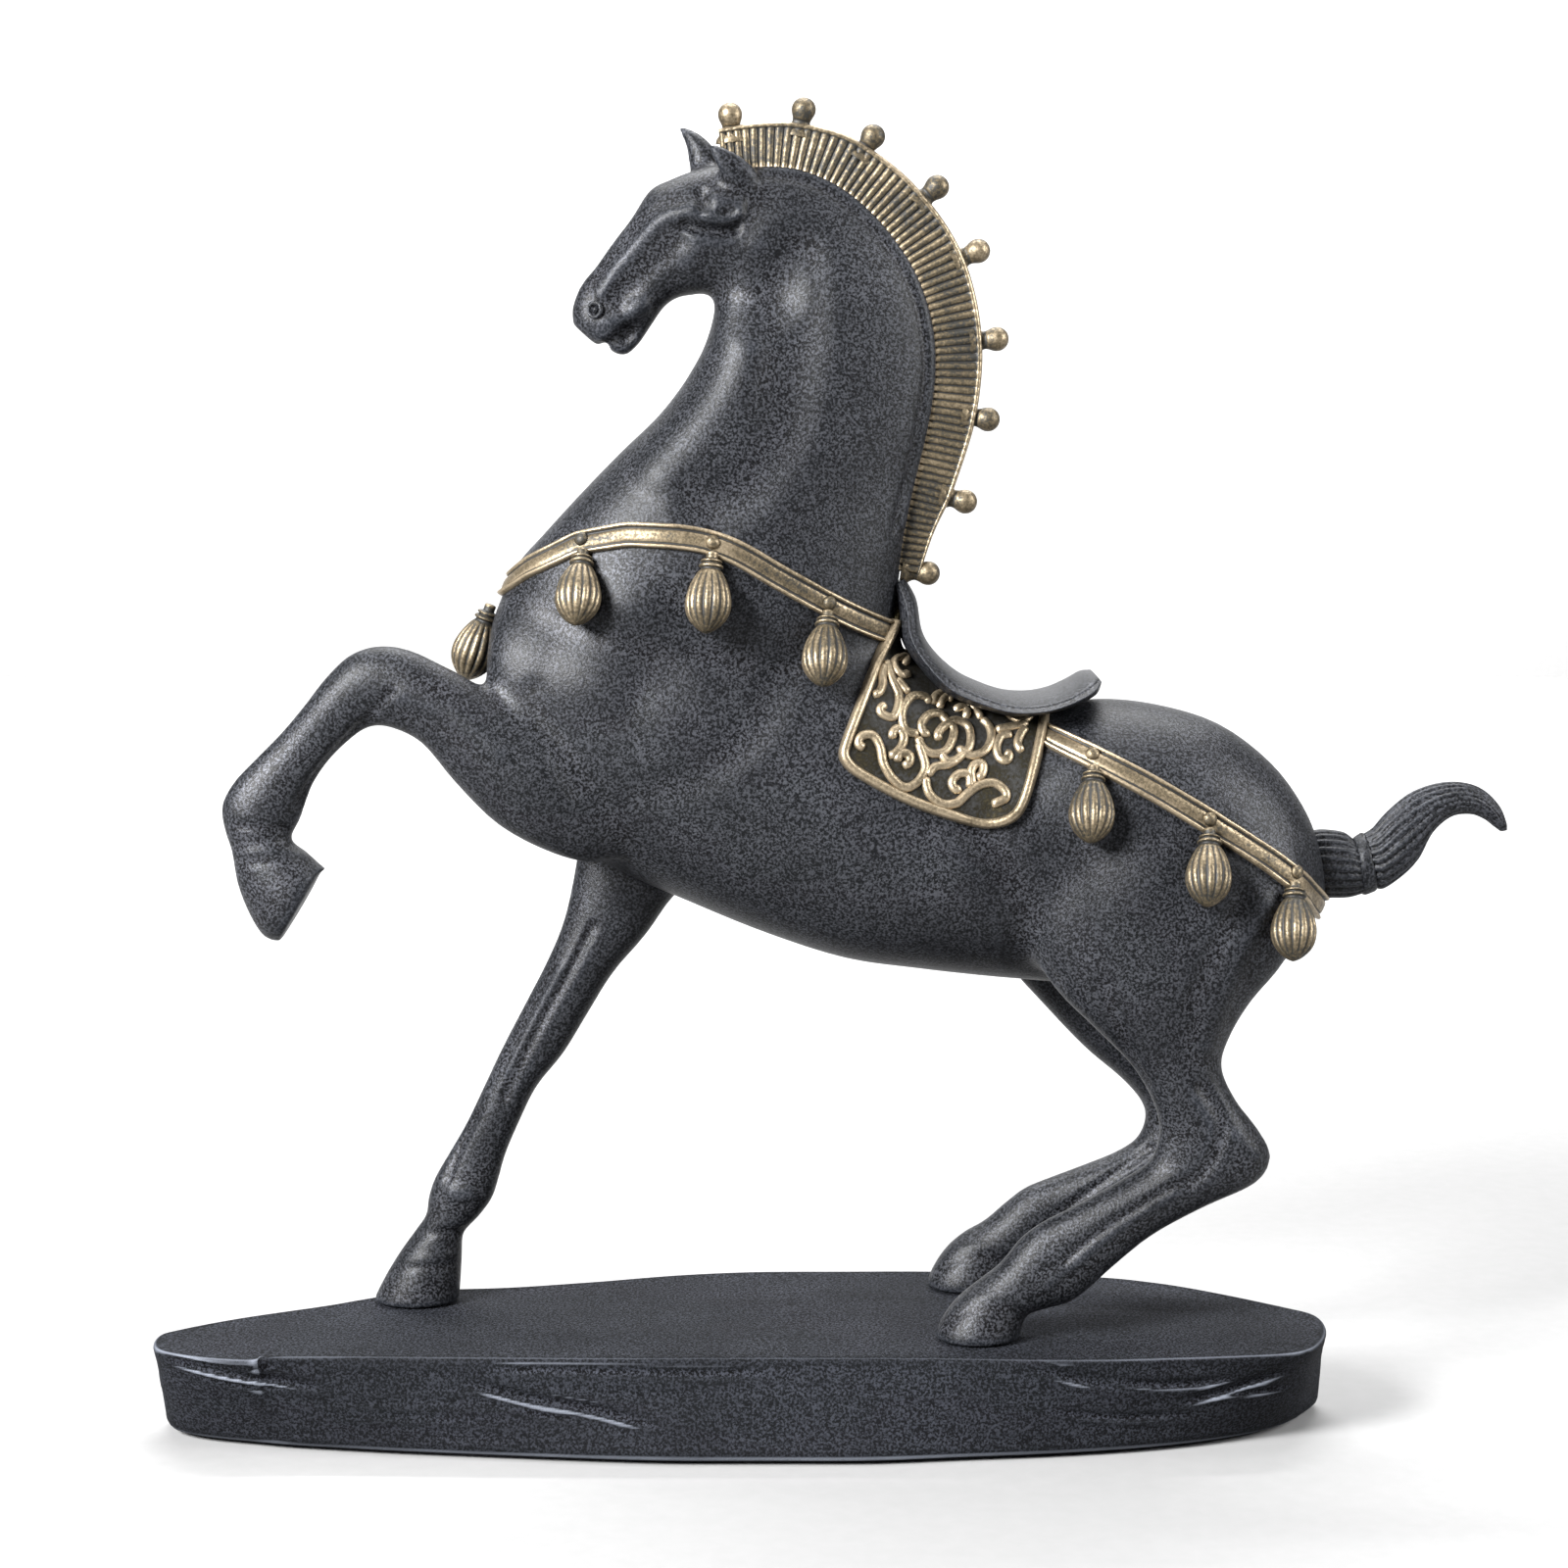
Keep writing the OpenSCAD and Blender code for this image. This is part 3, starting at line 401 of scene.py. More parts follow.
bpy.ops.mesh.primitive_plane_add(size=12, location=(0, 0, 0))
floor = bpy.context.active_object
floor.name = "paperFloor"
paper, paperTree, paperShader = newMaterial("mattePalePaper")
paperGrain = speckle(paperTree, 6, 2)
feed(paperTree, paperShader, {"Base Color": mixColour(paperTree, paperGrain, linear("#787878"),
                                                      linear("#7e7e7e"))})
paperShader.inputs["Roughness"].default_value = 0.9
floor.data.materials.append(paper)
bpy.ops.mesh.primitive_plane_add(size=9, location=(0, 2.8, 2.5), rotation=(math.radians(78), 0, 0))
backdrop = bpy.context.active_object
backdrop.name = "paperBackdrop"
backdrop.data.materials.append(paper)
print("camera, lights and floor set")


# ---- the horse's castings ----

castings = {  # node of the casting: sections, side (1 or -1)
    "torso_casting": ([
        (-71.5, 190, -71.5, 180, 8), (-70, 203, -70, 168, 19), (-64, 212, -63, 155, 25),
        (-49, 217, -52, 142, 28.5), (-24, 218, -36, 131, 30.5, 0, 0.05),
        (4, 213, -14, 121, 31, 0, 0.1), (28, 204, 8, 112, 31, 0, 0.12),
        (47, 191, 30, 105, 31, 0, 0.12), (65, 179, 51, 102, 30.5, 0, 0.1),
        (84, 177, 68, 100, 30, 0, 0.05), (101, 179.5, 84, 98.5, 30),
        (118, 178, 101, 97, 31, 0, -0.05), (136, 172.5, 119, 94, 30.5, 0, -0.05),
        (151, 161.5, 136, 93, 28), (160.5, 149, 149, 98, 23), (165.5, 137, 159, 109, 15),
        (167.5, 127, 165, 119, 6)], 1),
    "neck_casting": ([
        (-2, 328, -9, 301, 9), (9, 329.5, -7, 293.5, 11, 0, 0.1),
        (20, 327, -7.8, 286, 12.5, 0, 0.15), (31, 321.5, -10.2, 278.7, 13.5, 0, 0.2),
        (41, 312, -13.1, 273.2, 14.5, 0, 0.25), (49.3, 300, -17.3, 266.7, 15.5, 0, 0.28),
        (54.3, 286, -23.8, 258.8, 17, 0, 0.3), (55.2, 271, -33.4, 249.7, 19, 0, 0.3),
        (53, 256, -44.7, 238.2, 21.5, 0, 0.28), (49, 239, -55.9, 226.1, 24, 0, 0.22),
        (46, 222, -63.9, 216.9, 26.5, 0, 0.15), (44, 205, -69.4, 204, 28, 0, 0.1),
        (44, 190, -68.6, 190, 24)], 1),
    "head_casting": ([
        (9, 328, 4, 300, 8), (-3, 329.5, -3, 294.3, 12, 0, 0.05), (-12, 327.8, -9, 293.6, 12.8),
        (-19.5, 325, -13, 293.2, 12.2), (-25.2, 322, -17, 292.6, 10.6, 0, -0.05),
        (-30.3, 314.4, -21, 290.2, 8.9), (-35.7, 307.5, -24.6, 285.2, 7.6),
        (-40.4, 301, -28.6, 279.4, 7), (-44.6, 295.8, -32.5, 276.4, 7.2),
        (-47, 289.6, -36.2, 277.6, 6.6), (-46.8, 285, -41, 279.8, 4)], 1),
    "left_foreleg": ([
        (-34, 188, -28, 136, 8, -15), (-48, 180, -40, 135, 11, -18), (-60, 179, -52, 138, 12, -20),
        (-72, 185.5, -67, 146, 10.8, -21), (-82.5, 191, -79, 158, 9.2, -21.5),
        (-91.5, 195.3, -88.5, 169.5, 8, -22), (-100, 196.5, -98, 174, 7.7, -22),
        (-108, 194, -104, 173.5, 7.5, -22), (-115, 187.5, -109.5, 169.5, 7, -22),
        (-121.5, 179.3, -114.5, 164.5, 6.4, -22), (-128, 171.8, -118.7, 158.5, 6, -22),
        (-134.5, 165.3, -121, 153, 6.2, -22), (-141, 158.5, -123, 147.5, 7, -22),
        (-144.5, 151.8, -125, 144, 7.2, -22), (-143.8, 145, -125, 141.5, 6.8, -22),
        (-142, 139, -120.5, 138, 7.6, -22), (-140.6, 130, -116.3, 134, 9, -22),
        (-137.5, 121.5, -116, 134.5, 9.6, -22), (-133.5, 115, -116.8, 134, 9.8, -22),
        (-129, 113.4, -118.5, 131, 9, -22)], 1),
    "right_foreleg": ([
        (-46, 146, -2, 136, 9, 17), (-47.5, 136, -11, 127, 9.8, 16), (-49, 126, -20, 120, 9.4, 15),
        (-52, 113, -28, 109, 8.5, 14), (-57, 101, -37.5, 98, 8, 13),
        (-63.5, 88.5, -45, 86, 7.6, 12.5), (-70, 76, -52, 74.5, 7.4, 12),
        (-75.5, 64.5, -60, 64.5, 6.8, 11.5), (-80.5, 54, -65, 54.5, 6.3, 11),
        (-86, 44.5, -69.3, 44.5, 6.3, 11), (-90.3, 37, -71.5, 37, 6.9, 11),
        (-92.3, 31, -73.5, 31, 7.2, 11), (-93, 26, -77.5, 25.5, 6.9, 11),
        (-96, 21.5, -82, 20.5, 6.7, 11), (-101, 14.5, -82.6, 14.5, 8, 11),
        (-105.5, 7, -83, 7.5, 9.5, 11), (-109, 0, -83.7, 0, 10.5, 11)], 1),
    "left_hind_leg": ([
        (96, 151, 142, 151, 8, 12), (82, 142, 157, 140, 13, 18), (78, 128, 159, 122, 14.5, 20),
        (80, 113, 153.5, 108, 14, 21), (89, 99.5, 144, 97, 12.5, 22), (99, 89.5, 138, 87, 11, 22.5),
        (110, 78.5, 135.5, 78, 9.6, 23), (116, 68.5, 139.5, 68.5, 8.8, 24),
        (118, 61.5, 146, 60, 8.3, 24.5), (117.5, 56, 149.5, 52.5, 8, 25),
        (115.5, 51, 145.5, 45, 7.8, 25), (110, 47, 131, 38, 7.4, 25),
        (102, 42.4, 116.5, 30, 7, 25.5), (94, 38, 105.5, 21, 6.8, 26), (86, 34, 98.5, 14.4, 7, 26),
        (79.5, 29.2, 93, 10.5, 7.6, 26), (73.5, 21.7, 86, 8.6, 7.6, 26),
        (66.5, 16, 81.5, 7, 7.6, 26), (60.5, 10.5, 80, 4, 9, 26), (56.5, 4.5, 79.3, 1, 10.5, 26),
        (54.8, 0, 79, 0, 10.8, 26)], -1),
    "right_hind_leg": ([
        (96, 150, 140, 150, 8, 12), (80, 141, 156, 140, 13, 18), (73, 126, 157, 121, 14.5, 20),
        (73, 109, 151, 106, 14, 21), (79, 98, 141, 93, 12.5, 22), (88.2, 87.5, 134, 82, 11, 22.5),
        (101, 74, 131.5, 72, 9.6, 23), (112, 64.5, 136, 61, 8.8, 24),
        (118.3, 57.3, 142, 52.5, 8.3, 24.5), (119.8, 51.5, 143, 45, 8, 25),
        (117.3, 45.3, 138, 38, 7.8, 25), (111, 41, 126, 31.5, 7.4, 25),
        (102.4, 37.3, 113.5, 25, 7, 25.5), (92, 33.2, 102, 16.5, 6.8, 26),
        (84.4, 30, 94.5, 11, 7, 26), (78.5, 25.4, 89, 7.5, 7.6, 26), (72.4, 20, 84.5, 6.8, 7.6, 26),
        (65.7, 16, 81, 6, 7.6, 26), (60.5, 11, 80, 3.6, 9, 26), (56.7, 5, 79.3, 1, 10.5, 26),
        (55, 0, 79, 0, 10.8, 26)], 1),
    "left_ear": ([
        (6.5, 321, -1.5, 317.5, 3.6, 6), (5.6, 325.6, -3, 321, 4.2, 8),
        (2.6, 329.3, -4.6, 325, 3.8, 9.4), (-1.5, 332, -6.6, 329, 3, 10.2),
        (-5.2, 333.6, -8, 331.8, 1.9, 10.5), (-7.4, 334.2, -8.4, 333.6, 0.8, 10.5)], -1),
    "right_ear": ([
        (-5, 325, -13.5, 323.5, 3.6, 6), (-5.6, 329.6, -14.2, 328.5, 4.2, 7.4),
        (-7, 334, -14.8, 332.8, 3.8, 8.2), (-10.2, 337.4, -15.6, 336, 2.8, 8.6),
        (-13.6, 339.5, -16.8, 338.3, 1.7, 9), (-16.2, 340.3, -17.4, 339.9, 0.7, 9)], 1),
}
horse = {"grain": 0.9, "blendReach": 7.0, "earReach": 2.6,
         "blendShare": 0.55, "blendRounds": 60, "smoothRounds": 4}


def earCup(t, angle):
    # the open side of the ear is pressed in to leave a rim round a hollow
    pressed = np.clip(np.cos(angle - math.radians(75)) - 0.3, 0, 1)
    return 1 - 0.7 * pressed * math.sin(math.pi * t) ** 0.6


forms = {name: drawSkin(name + "Form", sections, 64, 4, side, earCup if "ear" in name else None)
         for name, (sections, side) in castings.items()}

# the parted lips: a notch in front runs back into a pit pressed into each cheek
mouth = {"pit": (-32.0, 281.6), "long": 4.7, "high": 3.2, "deep": 3.4, "slope": 32,
         "notches": ((-37.1, 280.7, 1.0), (-38.0, 278.9, 1.5))}  # (x, z, radius)


def searchTree(piece):
    faces = [face.vertices[:] for face in piece.data.polygons]
    return BVHTree.FromPolygons(coordinates(piece.data).tolist(), faces)


headTree = searchTree(forms["head_casting"])
x, z = mouth["pit"]
cutters = []
for side in (-1, 1):
    cheek = headTree.ray_cast(Vector((x, side * 60, deck + z)), Vector((0, -side, 0)))[0]
    bpy.ops.mesh.primitive_uv_sphere_add(
        segments=32, ring_count=16, location=Vector((x, cheek.y, deck + z)) * mm,
        rotation=(0, math.radians(-mouth["slope"]), 0),
        scale=Vector((mouth["long"], mouth["deep"], mouth["high"])) * mm)
    cutters.append(bpy.context.active_object)
for x, z, gap in mouth["notches"]:
    bpy.ops.mesh.primitive_cylinder_add(vertices=24, radius=gap * mm, depth=40 * mm,
                                        location=Vector((x, 0, deck + z)) * mm,
                                        rotation=(math.pi / 2, 0, 0))
    cutters.append(bpy.context.active_object)
for cutter in cutters:
    applyModifier(forms["head_casting"], "BOOLEAN", operation="DIFFERENCE", solver="EXACT",
                  object=cutter)
    bpy.data.objects.remove(cutter)

formTrees = {name: searchTree(form) for name, form in forms.items()}
skin = joinPieces("horseSkin", list(forms.values()))
applyModifier(skin, "REMESH", mode="VOXEL", voxel_size=horse["grain"] * mm)
print("horse skin drawn:", len(skin.data.vertices), "points")

skinCo, skinEnds = coordinates(skin.data), edgeEnds(skin.data)
skinDegree = np.maximum(np.bincount(skinEnds.ravel(), minlength=len(skinCo)), 1)
skinFaces = np.empty(len(skin.data.polygons) * 4, int)
skin.data.polygons.foreach_get("vertices", skinFaces)
skinFaces = skinFaces.reshape(-1, 4)

# how far each point is from every casting's own form
castingNames = list(castings)
farOff = 12.0
reachOf = np.full((len(skinCo), len(castingNames)), farOff)
for column, name in enumerate(castingNames):
    tree = formTrees[name]
    for row, point in enumerate(skinCo.tolist()):
        near = tree.find_nearest(point, farOff)
        if near[0] is not None:
            reachOf[row, column] = near[3]
second = np.sort(reachOf, axis=1)[:, 1]
besideEar = np.argsort(reachOf, axis=1)[:, :2].max(1) >= castingNames.index("left_ear")
fillet = np.where(besideEar, horse["earReach"], horse["blendReach"])
blend = np.clip(1 - second / fillet, 0, 1) * horse["blendShare"]
for _ in range(horse["blendRounds"]):  # fillets where one casting runs into the next
    skinCo += blend[:, None] * (neighbourMean(skinCo, skinEnds, skinDegree) - skinCo)
for _ in range(horse["smoothRounds"]):  # takes out the steps of the voxels
    skinCo += 0.5 * (neighbourMean(skinCo, skinEnds, skinDegree) - skinCo)
for _ in range(6):
    reachOf = 0.3 * reachOf + 0.7 * neighbourMean(reachOf, skinEnds, skinDegree)
# where two are about as near, the bigger casting takes the point
favour = np.array([0, 0.02, 0.04, 0.06, 0.06, 0.06, 0.06, 0.08, 0.08])
castingOf = np.argmin(reachOf + favour, axis=1)
moveTo(skin.data, skinCo)
print("castings blended")

head, neck, torso, raised, standing, leftHind, rightHind = (
    castingNames.index(n) for n in ("head_casting", "neck_casting", "torso_casting", "left_foreleg",
                                    "right_foreleg", "left_hind_leg", "right_hind_leg"))
# Chasing on the skin: (side-view line, radius, height, castings), height below zero for a groove
chasing = [
    ([(-12.8, 316), (-19.5, 314.6), (-24.9, 310.6), (-29.7, 305.2), (-34.4, 299.8), (-38.4, 293.8)],
     3.4, 1.1, [head]),  # brow to nostril
    ([(-7, 317.6), (-3.5, 318), (-0.5, 317)], 4.6, 1.5, [head]),  # eye
    ([(-10.5, 320.5), (-9.2, 317.6)], 3.0, -1.5, [head]),
    ([(-9, 314.6), (-5.3, 313), (-1.3, 313.6), (0.8, 315.3)], 1.9, 1.3, [head]),  # lower lid
    ([(-15, 312), (-11, 311), (-6, 310.4), (-2, 310.9), (1.5, 312.4)], 2.4, -2.4,
     [head]),  # under the lid
    ([(-17, 307.5), (-22.5, 302.5), (-28, 297.5), (-32, 293.5)], 5.5, -1.2, [head]),  # cheek hollow
    ([(-29.3, 289.6), (-27.4, 290.4)], 4.0, 1.8, [head]),  # corner of the lips
    ([(-37.5, 285), (-33.5, 286.8), (-30, 287.5)], 2.2, 0.5, [head]),
    ([(-40.4, 289), (-40.2, 289)], 2.0, -1.6, [head]),  # nostril
    ([(4, 291), (6.5, 294)], 14, -3.4, [head, neck]),  # behind the jaw
    ([(15.5, 303), (16, 287), (14, 268.5), (10.5, 253.5), (2, 242), (-7.5, 235.5)], 13, -2.3, [neck]),
    ([(1, 285), (-2, 271.5), (-11, 258), (-22, 246)], 10, 1.6, [neck]),  # front plane
    ([(-14, 208), (-5, 197), (1.5, 187)], 12, -0.9, [torso, neck]),  # behind the shoulder
    ([(-31, 206), (-37, 197), (-40, 188)], 15, 1.4, [torso, neck, raised]),  # shoulder
    ([(12.5, 189), (7, 178), (-2, 167.5), (-13.5, 159.5), (-27, 155)], 8, -0.8, [torso]),  # elbow crease
    ([(-17.5, 177), (-8, 184)], 13, 0.8, [torso]),
    ([(-57, 184), (-54, 176), (-49, 167), (-44.5, 158)], 6, -0.7, [torso, raised]),  # arm crease
    ([(66, 146), (73.5, 135.5), (78.5, 123.5), (81, 111), (84, 103)], 9, -1.3,
     [torso, leftHind, rightHind]),
    ([(60, 140), (66, 128), (70, 115)], 10, 0.5, [torso]),  # ribs' end
    ([(97, 160), (108, 148), (114, 134)], 18, 1.4, [torso, leftHind, rightHind]),  # haunch
    ([(146, 125), (139, 112), (134, 99), (130, 86)], 5, 0.9, [leftHind, rightHind]),  # hamstring
    ([(139, 128), (131, 112), (125, 98)], 4, -0.7, [leftHind, rightHind]),
    ([(101, 103), (107, 87), (113, 74)], 3, -0.6, [leftHind, rightHind]),  # gaskin
    ([(129, 74), (134.5, 64), (132.5, 54), (126, 46)], 3, -1.0, [leftHind]),  # hock
    ([(139.5, 60), (144, 54.5)], 4, 0.7, [leftHind]),
    ([(127, 68), (131, 58), (128, 48)], 3, -0.9, [rightHind]),
    ([(125, 47.5), (112, 39.5), (98, 30), (91, 24)], 2.0, -0.9, [leftHind]),  # tendon
    ([(121, 44), (106, 34), (93, 23), (86, 17)], 2.4, 0.5, [leftHind]),
    ([(121, 44), (106, 33), (94, 24), (86, 18)], 2.0, -0.9, [rightHind]),
    ([(-43, 113), (-49, 101), (-56.5, 88), (-63.5, 74.5), (-69, 62)], 2.2, -1.0, [standing]),
    ([(-52, 100), (-60, 84), (-67, 70)], 2.6, 0.5, [standing]),
    ([(-77, 58), (-82, 48), (-86, 38)], 1.9, -0.8, [standing]),
    ([(-84, 34), (-80, 34)], 4, 0.7, [standing]),  # fetlock
    ([(-95, 21), (-89, 22), (-82, 22)], 2.2, -0.5, [standing]),
    ([(-103, 13), (-95, 14.5), (-83, 15)], 1.8, 0.25, [standing]),  # coronet
    ([(-104.5, 10.5), (-95, 12), (-83, 12.5)], 1.3, -0.2, [standing]),
    ([(-96, 184), (-107, 172.5), (-117, 161), (-123, 152)], 2.2, -0.7, [raised]),
    ([(-66, 168), (-79, 178), (-92, 183)], 5, 0.6, [raised]),
    ([(-140.5, 138.2), (-135, 139.6), (-129, 140.3), (-122, 138.5)], 1.7, 0.3, [raised]),  # coronet
    ([(-140, 135.4), (-133, 136.8), (-123, 136)], 1.3, -0.25, [raised]),
    ([(-139, 147), (-133, 146.5), (-127, 146)], 1.8, -0.5, [raised]),
    ([(57, 6.8), (64, 12.8), (75, 13.5), (80, 9)], 1.8, 0.25, [leftHind, rightHind]),
    ([(57, 4), (64, 9.5), (75, 10.5), (80, 6)], 1.3, -0.2, [leftHind, rightHind]),
]


def lineDistance(points, line):
    # distance of side-view points to a drawn line
    best = np.full(len(points), 1e9)
    for a, b in zip(line[:-1], line[1:]):
        along = b - a
        t = np.clip(((points - a) @ along) / max(along @ along, 1e-9), 0, 1)
        best = np.minimum(best, np.linalg.norm(points - a - t[:, None] * along, axis=1))
    return best


def chase(co, normals, line, radius, height, allowed):
    line = evenCurve(line, 1.0)
    flat = co[:, [0, 2]] - (0, deck)
    near = np.all((flat > line.min(0) - radius) & (flat < line.max(0) + radius), axis=1)
    near &= np.isin(castingOf, allowed)
    rows = np.nonzero(near)[0]
    if not len(rows):
        return
    fall = np.clip(1 - (lineDistance(flat[rows], line) / radius) ** 2, 0, 1) ** 2
    facing = np.clip((np.abs(normals[rows, 1]) - 0.15) / 0.4, 0, 1)
    co[rows] += normals[rows] * (height * fall * facing)[:, None]


skinNormals = vertexNormals(skin.data)
for line, radius, height, allowed in chasing:
    chase(skinCo, skinNormals, line, radius, height, allowed)
crest = [(-5, 328.5), (5, 329.3), (15, 328.5), (25, 325), (35, 318), (43, 309.6), (49, 300.5),
         (53, 290), (55, 279), (55, 268), (53.3, 256), (50.5, 243), (47.2, 230), (45, 216)]
crestRun = evenCurve(crest, 1.0)
crestWay = np.gradient(crestRun, axis=0)
crestOut = np.stack([-crestWay[:, 1], crestWay[:, 0]], 1)
crestOut /= np.linalg.norm(crestOut, axis=1)[:, None]
for start, inset, radius, height in ((6, 1.4, 1.7, 0.7), (8, 3.6, 1.3, -0.5)):  # band beside the comb
    line = (crestRun - crestOut * inset)[start:-8:6]
    chase(skinCo, skinNormals, line, radius, height, [neck, head])
skinCo += 0.3 * (neighbourMean(skinCo, skinEnds, skinDegree) - skinCo)
moveTo(skin.data, skinCo)
skinNormals = vertexNormals(skin.data)
skinTree = BVHTree.FromPolygons(skinCo.tolist(), skinFaces.tolist())
markWear(skin, 0.022, 8, 120)
skinWear = np.empty(len(skinCo))
skin.data.attributes["wear"].data.foreach_get("value", skinWear)
print("skin chased")


def takeCasting(name, chosen, normals, wear):
    # the chosen faces become a piece of their own, closed inside the body by a cap at each joint
    faces = skinFaces[chosen]
    used, compact = np.unique(faces, return_inverse=True)
    faces = compact.reshape(-1, 4)
    sides = np.stack([faces, np.roll(faces, -1, 1)], -1).reshape(-1, 2)
    keys = np.sort(sides, 1) @ np.array([len(used), 1])
    _, first, times = np.unique(keys, return_index=True, return_counts=True)
    rim = sides[first[times == 1]]
    points = skinCo[used]
    group = {int(v): int(v) for v in rim.ravel()}

    def root(v):
        while group[v] != v:
            group[v] = group[group[v]]
            v = group[v]
        return v

    for a, b in rim.tolist():
        group[root(a)] = root(b)
    loops = {}
    for a, b in rim.tolist():
        loops.setdefault(root(a), []).append((a, b))
    allFaces, extra = faces.tolist(), []
    for loop in loops.values():
        extra.append(points[[a for a, b in loop]].mean(0))
        centre = len(points) + len(extra) - 1
        allFaces += [[b, a, centre] for a, b in loop]
    if extra:
        points = np.concatenate([points, extra])
    piece = newPiece(name, points, allFaces)
    padding = np.zeros((len(extra), 3)) + (0, 0, 1)
    pickOut(piece)
    bpy.ops.object.shade_smooth()
    setWear(piece.data, np.concatenate([wear[used], np.full(len(extra), 0.5)]))
    piece.data.normals_split_custom_set_from_vertices(np.concatenate([normals[used], padding]).tolist())
    return piece


faceCasting = np.sort(castingOf[skinFaces], axis=1)[:, 1]
for index, name in enumerate(castingNames):
    title = name.replace("_", " ").title().replace(" ", "") + "Skin"
    part = takeCasting(title, faceCasting == index, skinNormals, skinWear)
    finishPiece(part, blackPatina, "black_casting", name)
bpy.data.objects.remove(skin)
print("castings parted")


# ---- tail ----

def drawTail(name, sections, count, steps, grooves, depth, node, twist, calm):
    # combed into grooves; calm is how far they fade towards the tip
    def comb(t, angle):
        lines = np.abs(np.sin(angle * grooves / 2 + twist * t))
        return 1 - depth * (1 - lines ** 0.7) * (1 - calm * max(0.0, t - 0.3) / 0.7)

    piece = drawSkin(name, sections, count, steps, 1, comb)
    finishPiece(piece, blackPatina, "black_casting", node, wear=0.05, rounds=2)


drawTail("tailDock", [
    (159, 140, 160, 124, 7), (164.5, 141.8, 165.5, 122.4, 8.2), (169, 141.8, 170, 122.2, 8.4),
    (173, 141, 174.5, 122.4, 8), (175.6, 139, 178.4, 123.5, 7)],
    count=132, steps=8, grooves=22, depth=0.09, node="tail_dock", twist=0.0, calm=0.0)
drawTail("tailTie", [
    (175.4, 139.4, 178.2, 123.2, 7.1), (176, 139.9, 179.2, 123.1, 7.6),
    (177.5, 140.9, 181.5, 124, 7.6), (178.2, 140.9, 182.2, 124.6, 7.1)],
    count=96, steps=6, grooves=40, depth=0.025, node="tail_tie", twist=6.0, calm=0.0)
drawTail("tailPlume", [
    (178, 140.5, 182, 125, 7), (181, 142.5, 184.5, 125, 8), (185, 147.2, 189.5, 128.5, 8),
    (191.5, 152.6, 194, 133.5, 7.2), (199, 155.3, 197.8, 141, 6), (206, 155.6, 203, 145.6, 4.8),
    (212, 153.6, 208.5, 146.4, 3.8), (216.8, 149, 212.5, 145, 3), (219, 144.2, 215.5, 142.8, 2.2),
    (219.3, 141.9, 217.3, 141.5, 1.2)],
    count=132, steps=8, grooves=20, depth=0.13, node="tail_plume", twist=5.0, calm=0.8)
print("tail made")


# ---- harness ----

def sideHit(x, z, side):
    hit = skinTree.ray_cast(Vector((x, side * 90, z)), Vector((0, -side, 0)))
    return hit[0], hit[1]


def sideRun(points, side, pitch=0.8):
    # points of the skin behind a side-view line
    line = evenCurve(points, pitch)
    run = [sideHit(x, deck + z, side)[0] for x, z in line]
    return [p for p in run if p is not None]


def layStrip(path, profile, tree, taper):
    # lays a moulded strip over a skin: every point of its profile is set off the skin by its height
    path = np.array([tuple(p) for p in path])
    way = np.gradient(path, axis=0)
    rings = []
    for i, (point, along) in enumerate(zip(path, way)):
        near = tree.find_nearest(Vector(point))
        across = Vector(near[1]).cross(Vector(along)).normalized()
        end = min(i, len(path) - 1 - i)
        swell = 1  # a tapered strip is rounded off at its ends
        if end * 0.5 < taper:
            swell = math.sqrt(max(1 - (1 - end * 0.5 / taper) ** 2, 0.02))
        ring = []
        for width, height in profile:
            place, normal, _, _ = tree.find_nearest(near[0] + across * width * swell)
            ring.append(place + normal * (height * (swell if height > 0 else 1)))
        rings.append(np.array([tuple(p) for p in ring]))
    return bridgeRings(rings)


def stripPiece(name, paths, profile, tree, taper=0.0):
    points, faces, count = [], [], 0
    for path in paths:
        p, f = layStrip(path, profile, tree, taper)
        points.append(p)
        faces += [[v + count for v in face] for face in f]
        count += len(p)
    piece = newPiece(name, np.concatenate(points), faces)
    turnFacesOut(piece)
    return piece


strap = {"half": 3.5, "thick": 1.5}
h, b = strap["half"], strap["thick"]
strapProfile = [(-h, -0.5), (-h, 0.5), (-h + 0.1, b - 0.2), (-h + 0.4, b + 0.15), (-h + 0.8, b + 0.2),
                (-h + 1.15, b - 0.1), (-h + 1.35, b - 0.65), (-h + 1.7, b - 0.7), (-h + 2.0, b - 0.4),
                (-0.8, b - 0.3), (0, b - 0.27), (0.8, b - 0.3), (h - 1.9, b - 0.4), (h - 1.6, b - 0.7),
                (h - 1.3, b - 0.65), (h - 1.1, b - 0.1), (h - 0.8, b + 0.3), (h - 0.4, b + 0.25),
                (h - 0.1, b - 0.2), (h, 0.5), (h, -0.5)]
breastLine = [(-82, 196), (-70, 209), (-59, 217.5), (-45, 224.5), (-31, 227.3), (-15, 226.5), (-2, 223),
              (12, 215), (28, 206), (43, 198.5)]
crupperLine = [(83, 172), (98, 165.5), (114, 157.5), (132, 147), (148, 136.5), (157, 129.5), (163, 123),
               (168, 117)]


def roundFront(axis, line, widest, facing, pitch=1.6):
    # goes round the chest (facing -1) or the rump (facing 1) at the height the side-view line gives
    xs, zs = np.array(line).T
    run, x = [], axis + facing * 30
    for angle in np.arange(-widest, widest + 0.01, pitch):
        way = Vector((facing * math.cos(math.radians(angle)), math.sin(math.radians(angle)), 0))
        for _ in range(6):
            z = deck + float(np.interp(x, xs, zs))
            start = Vector((axis, 0, z)) + way * 95
            hit = skinTree.ray_cast(start, -way)[0]
            if hit is None:
                break
            x = 0.5 * x + 0.5 * hit.x
        if hit is not None:
            run.append(hit)
    return run


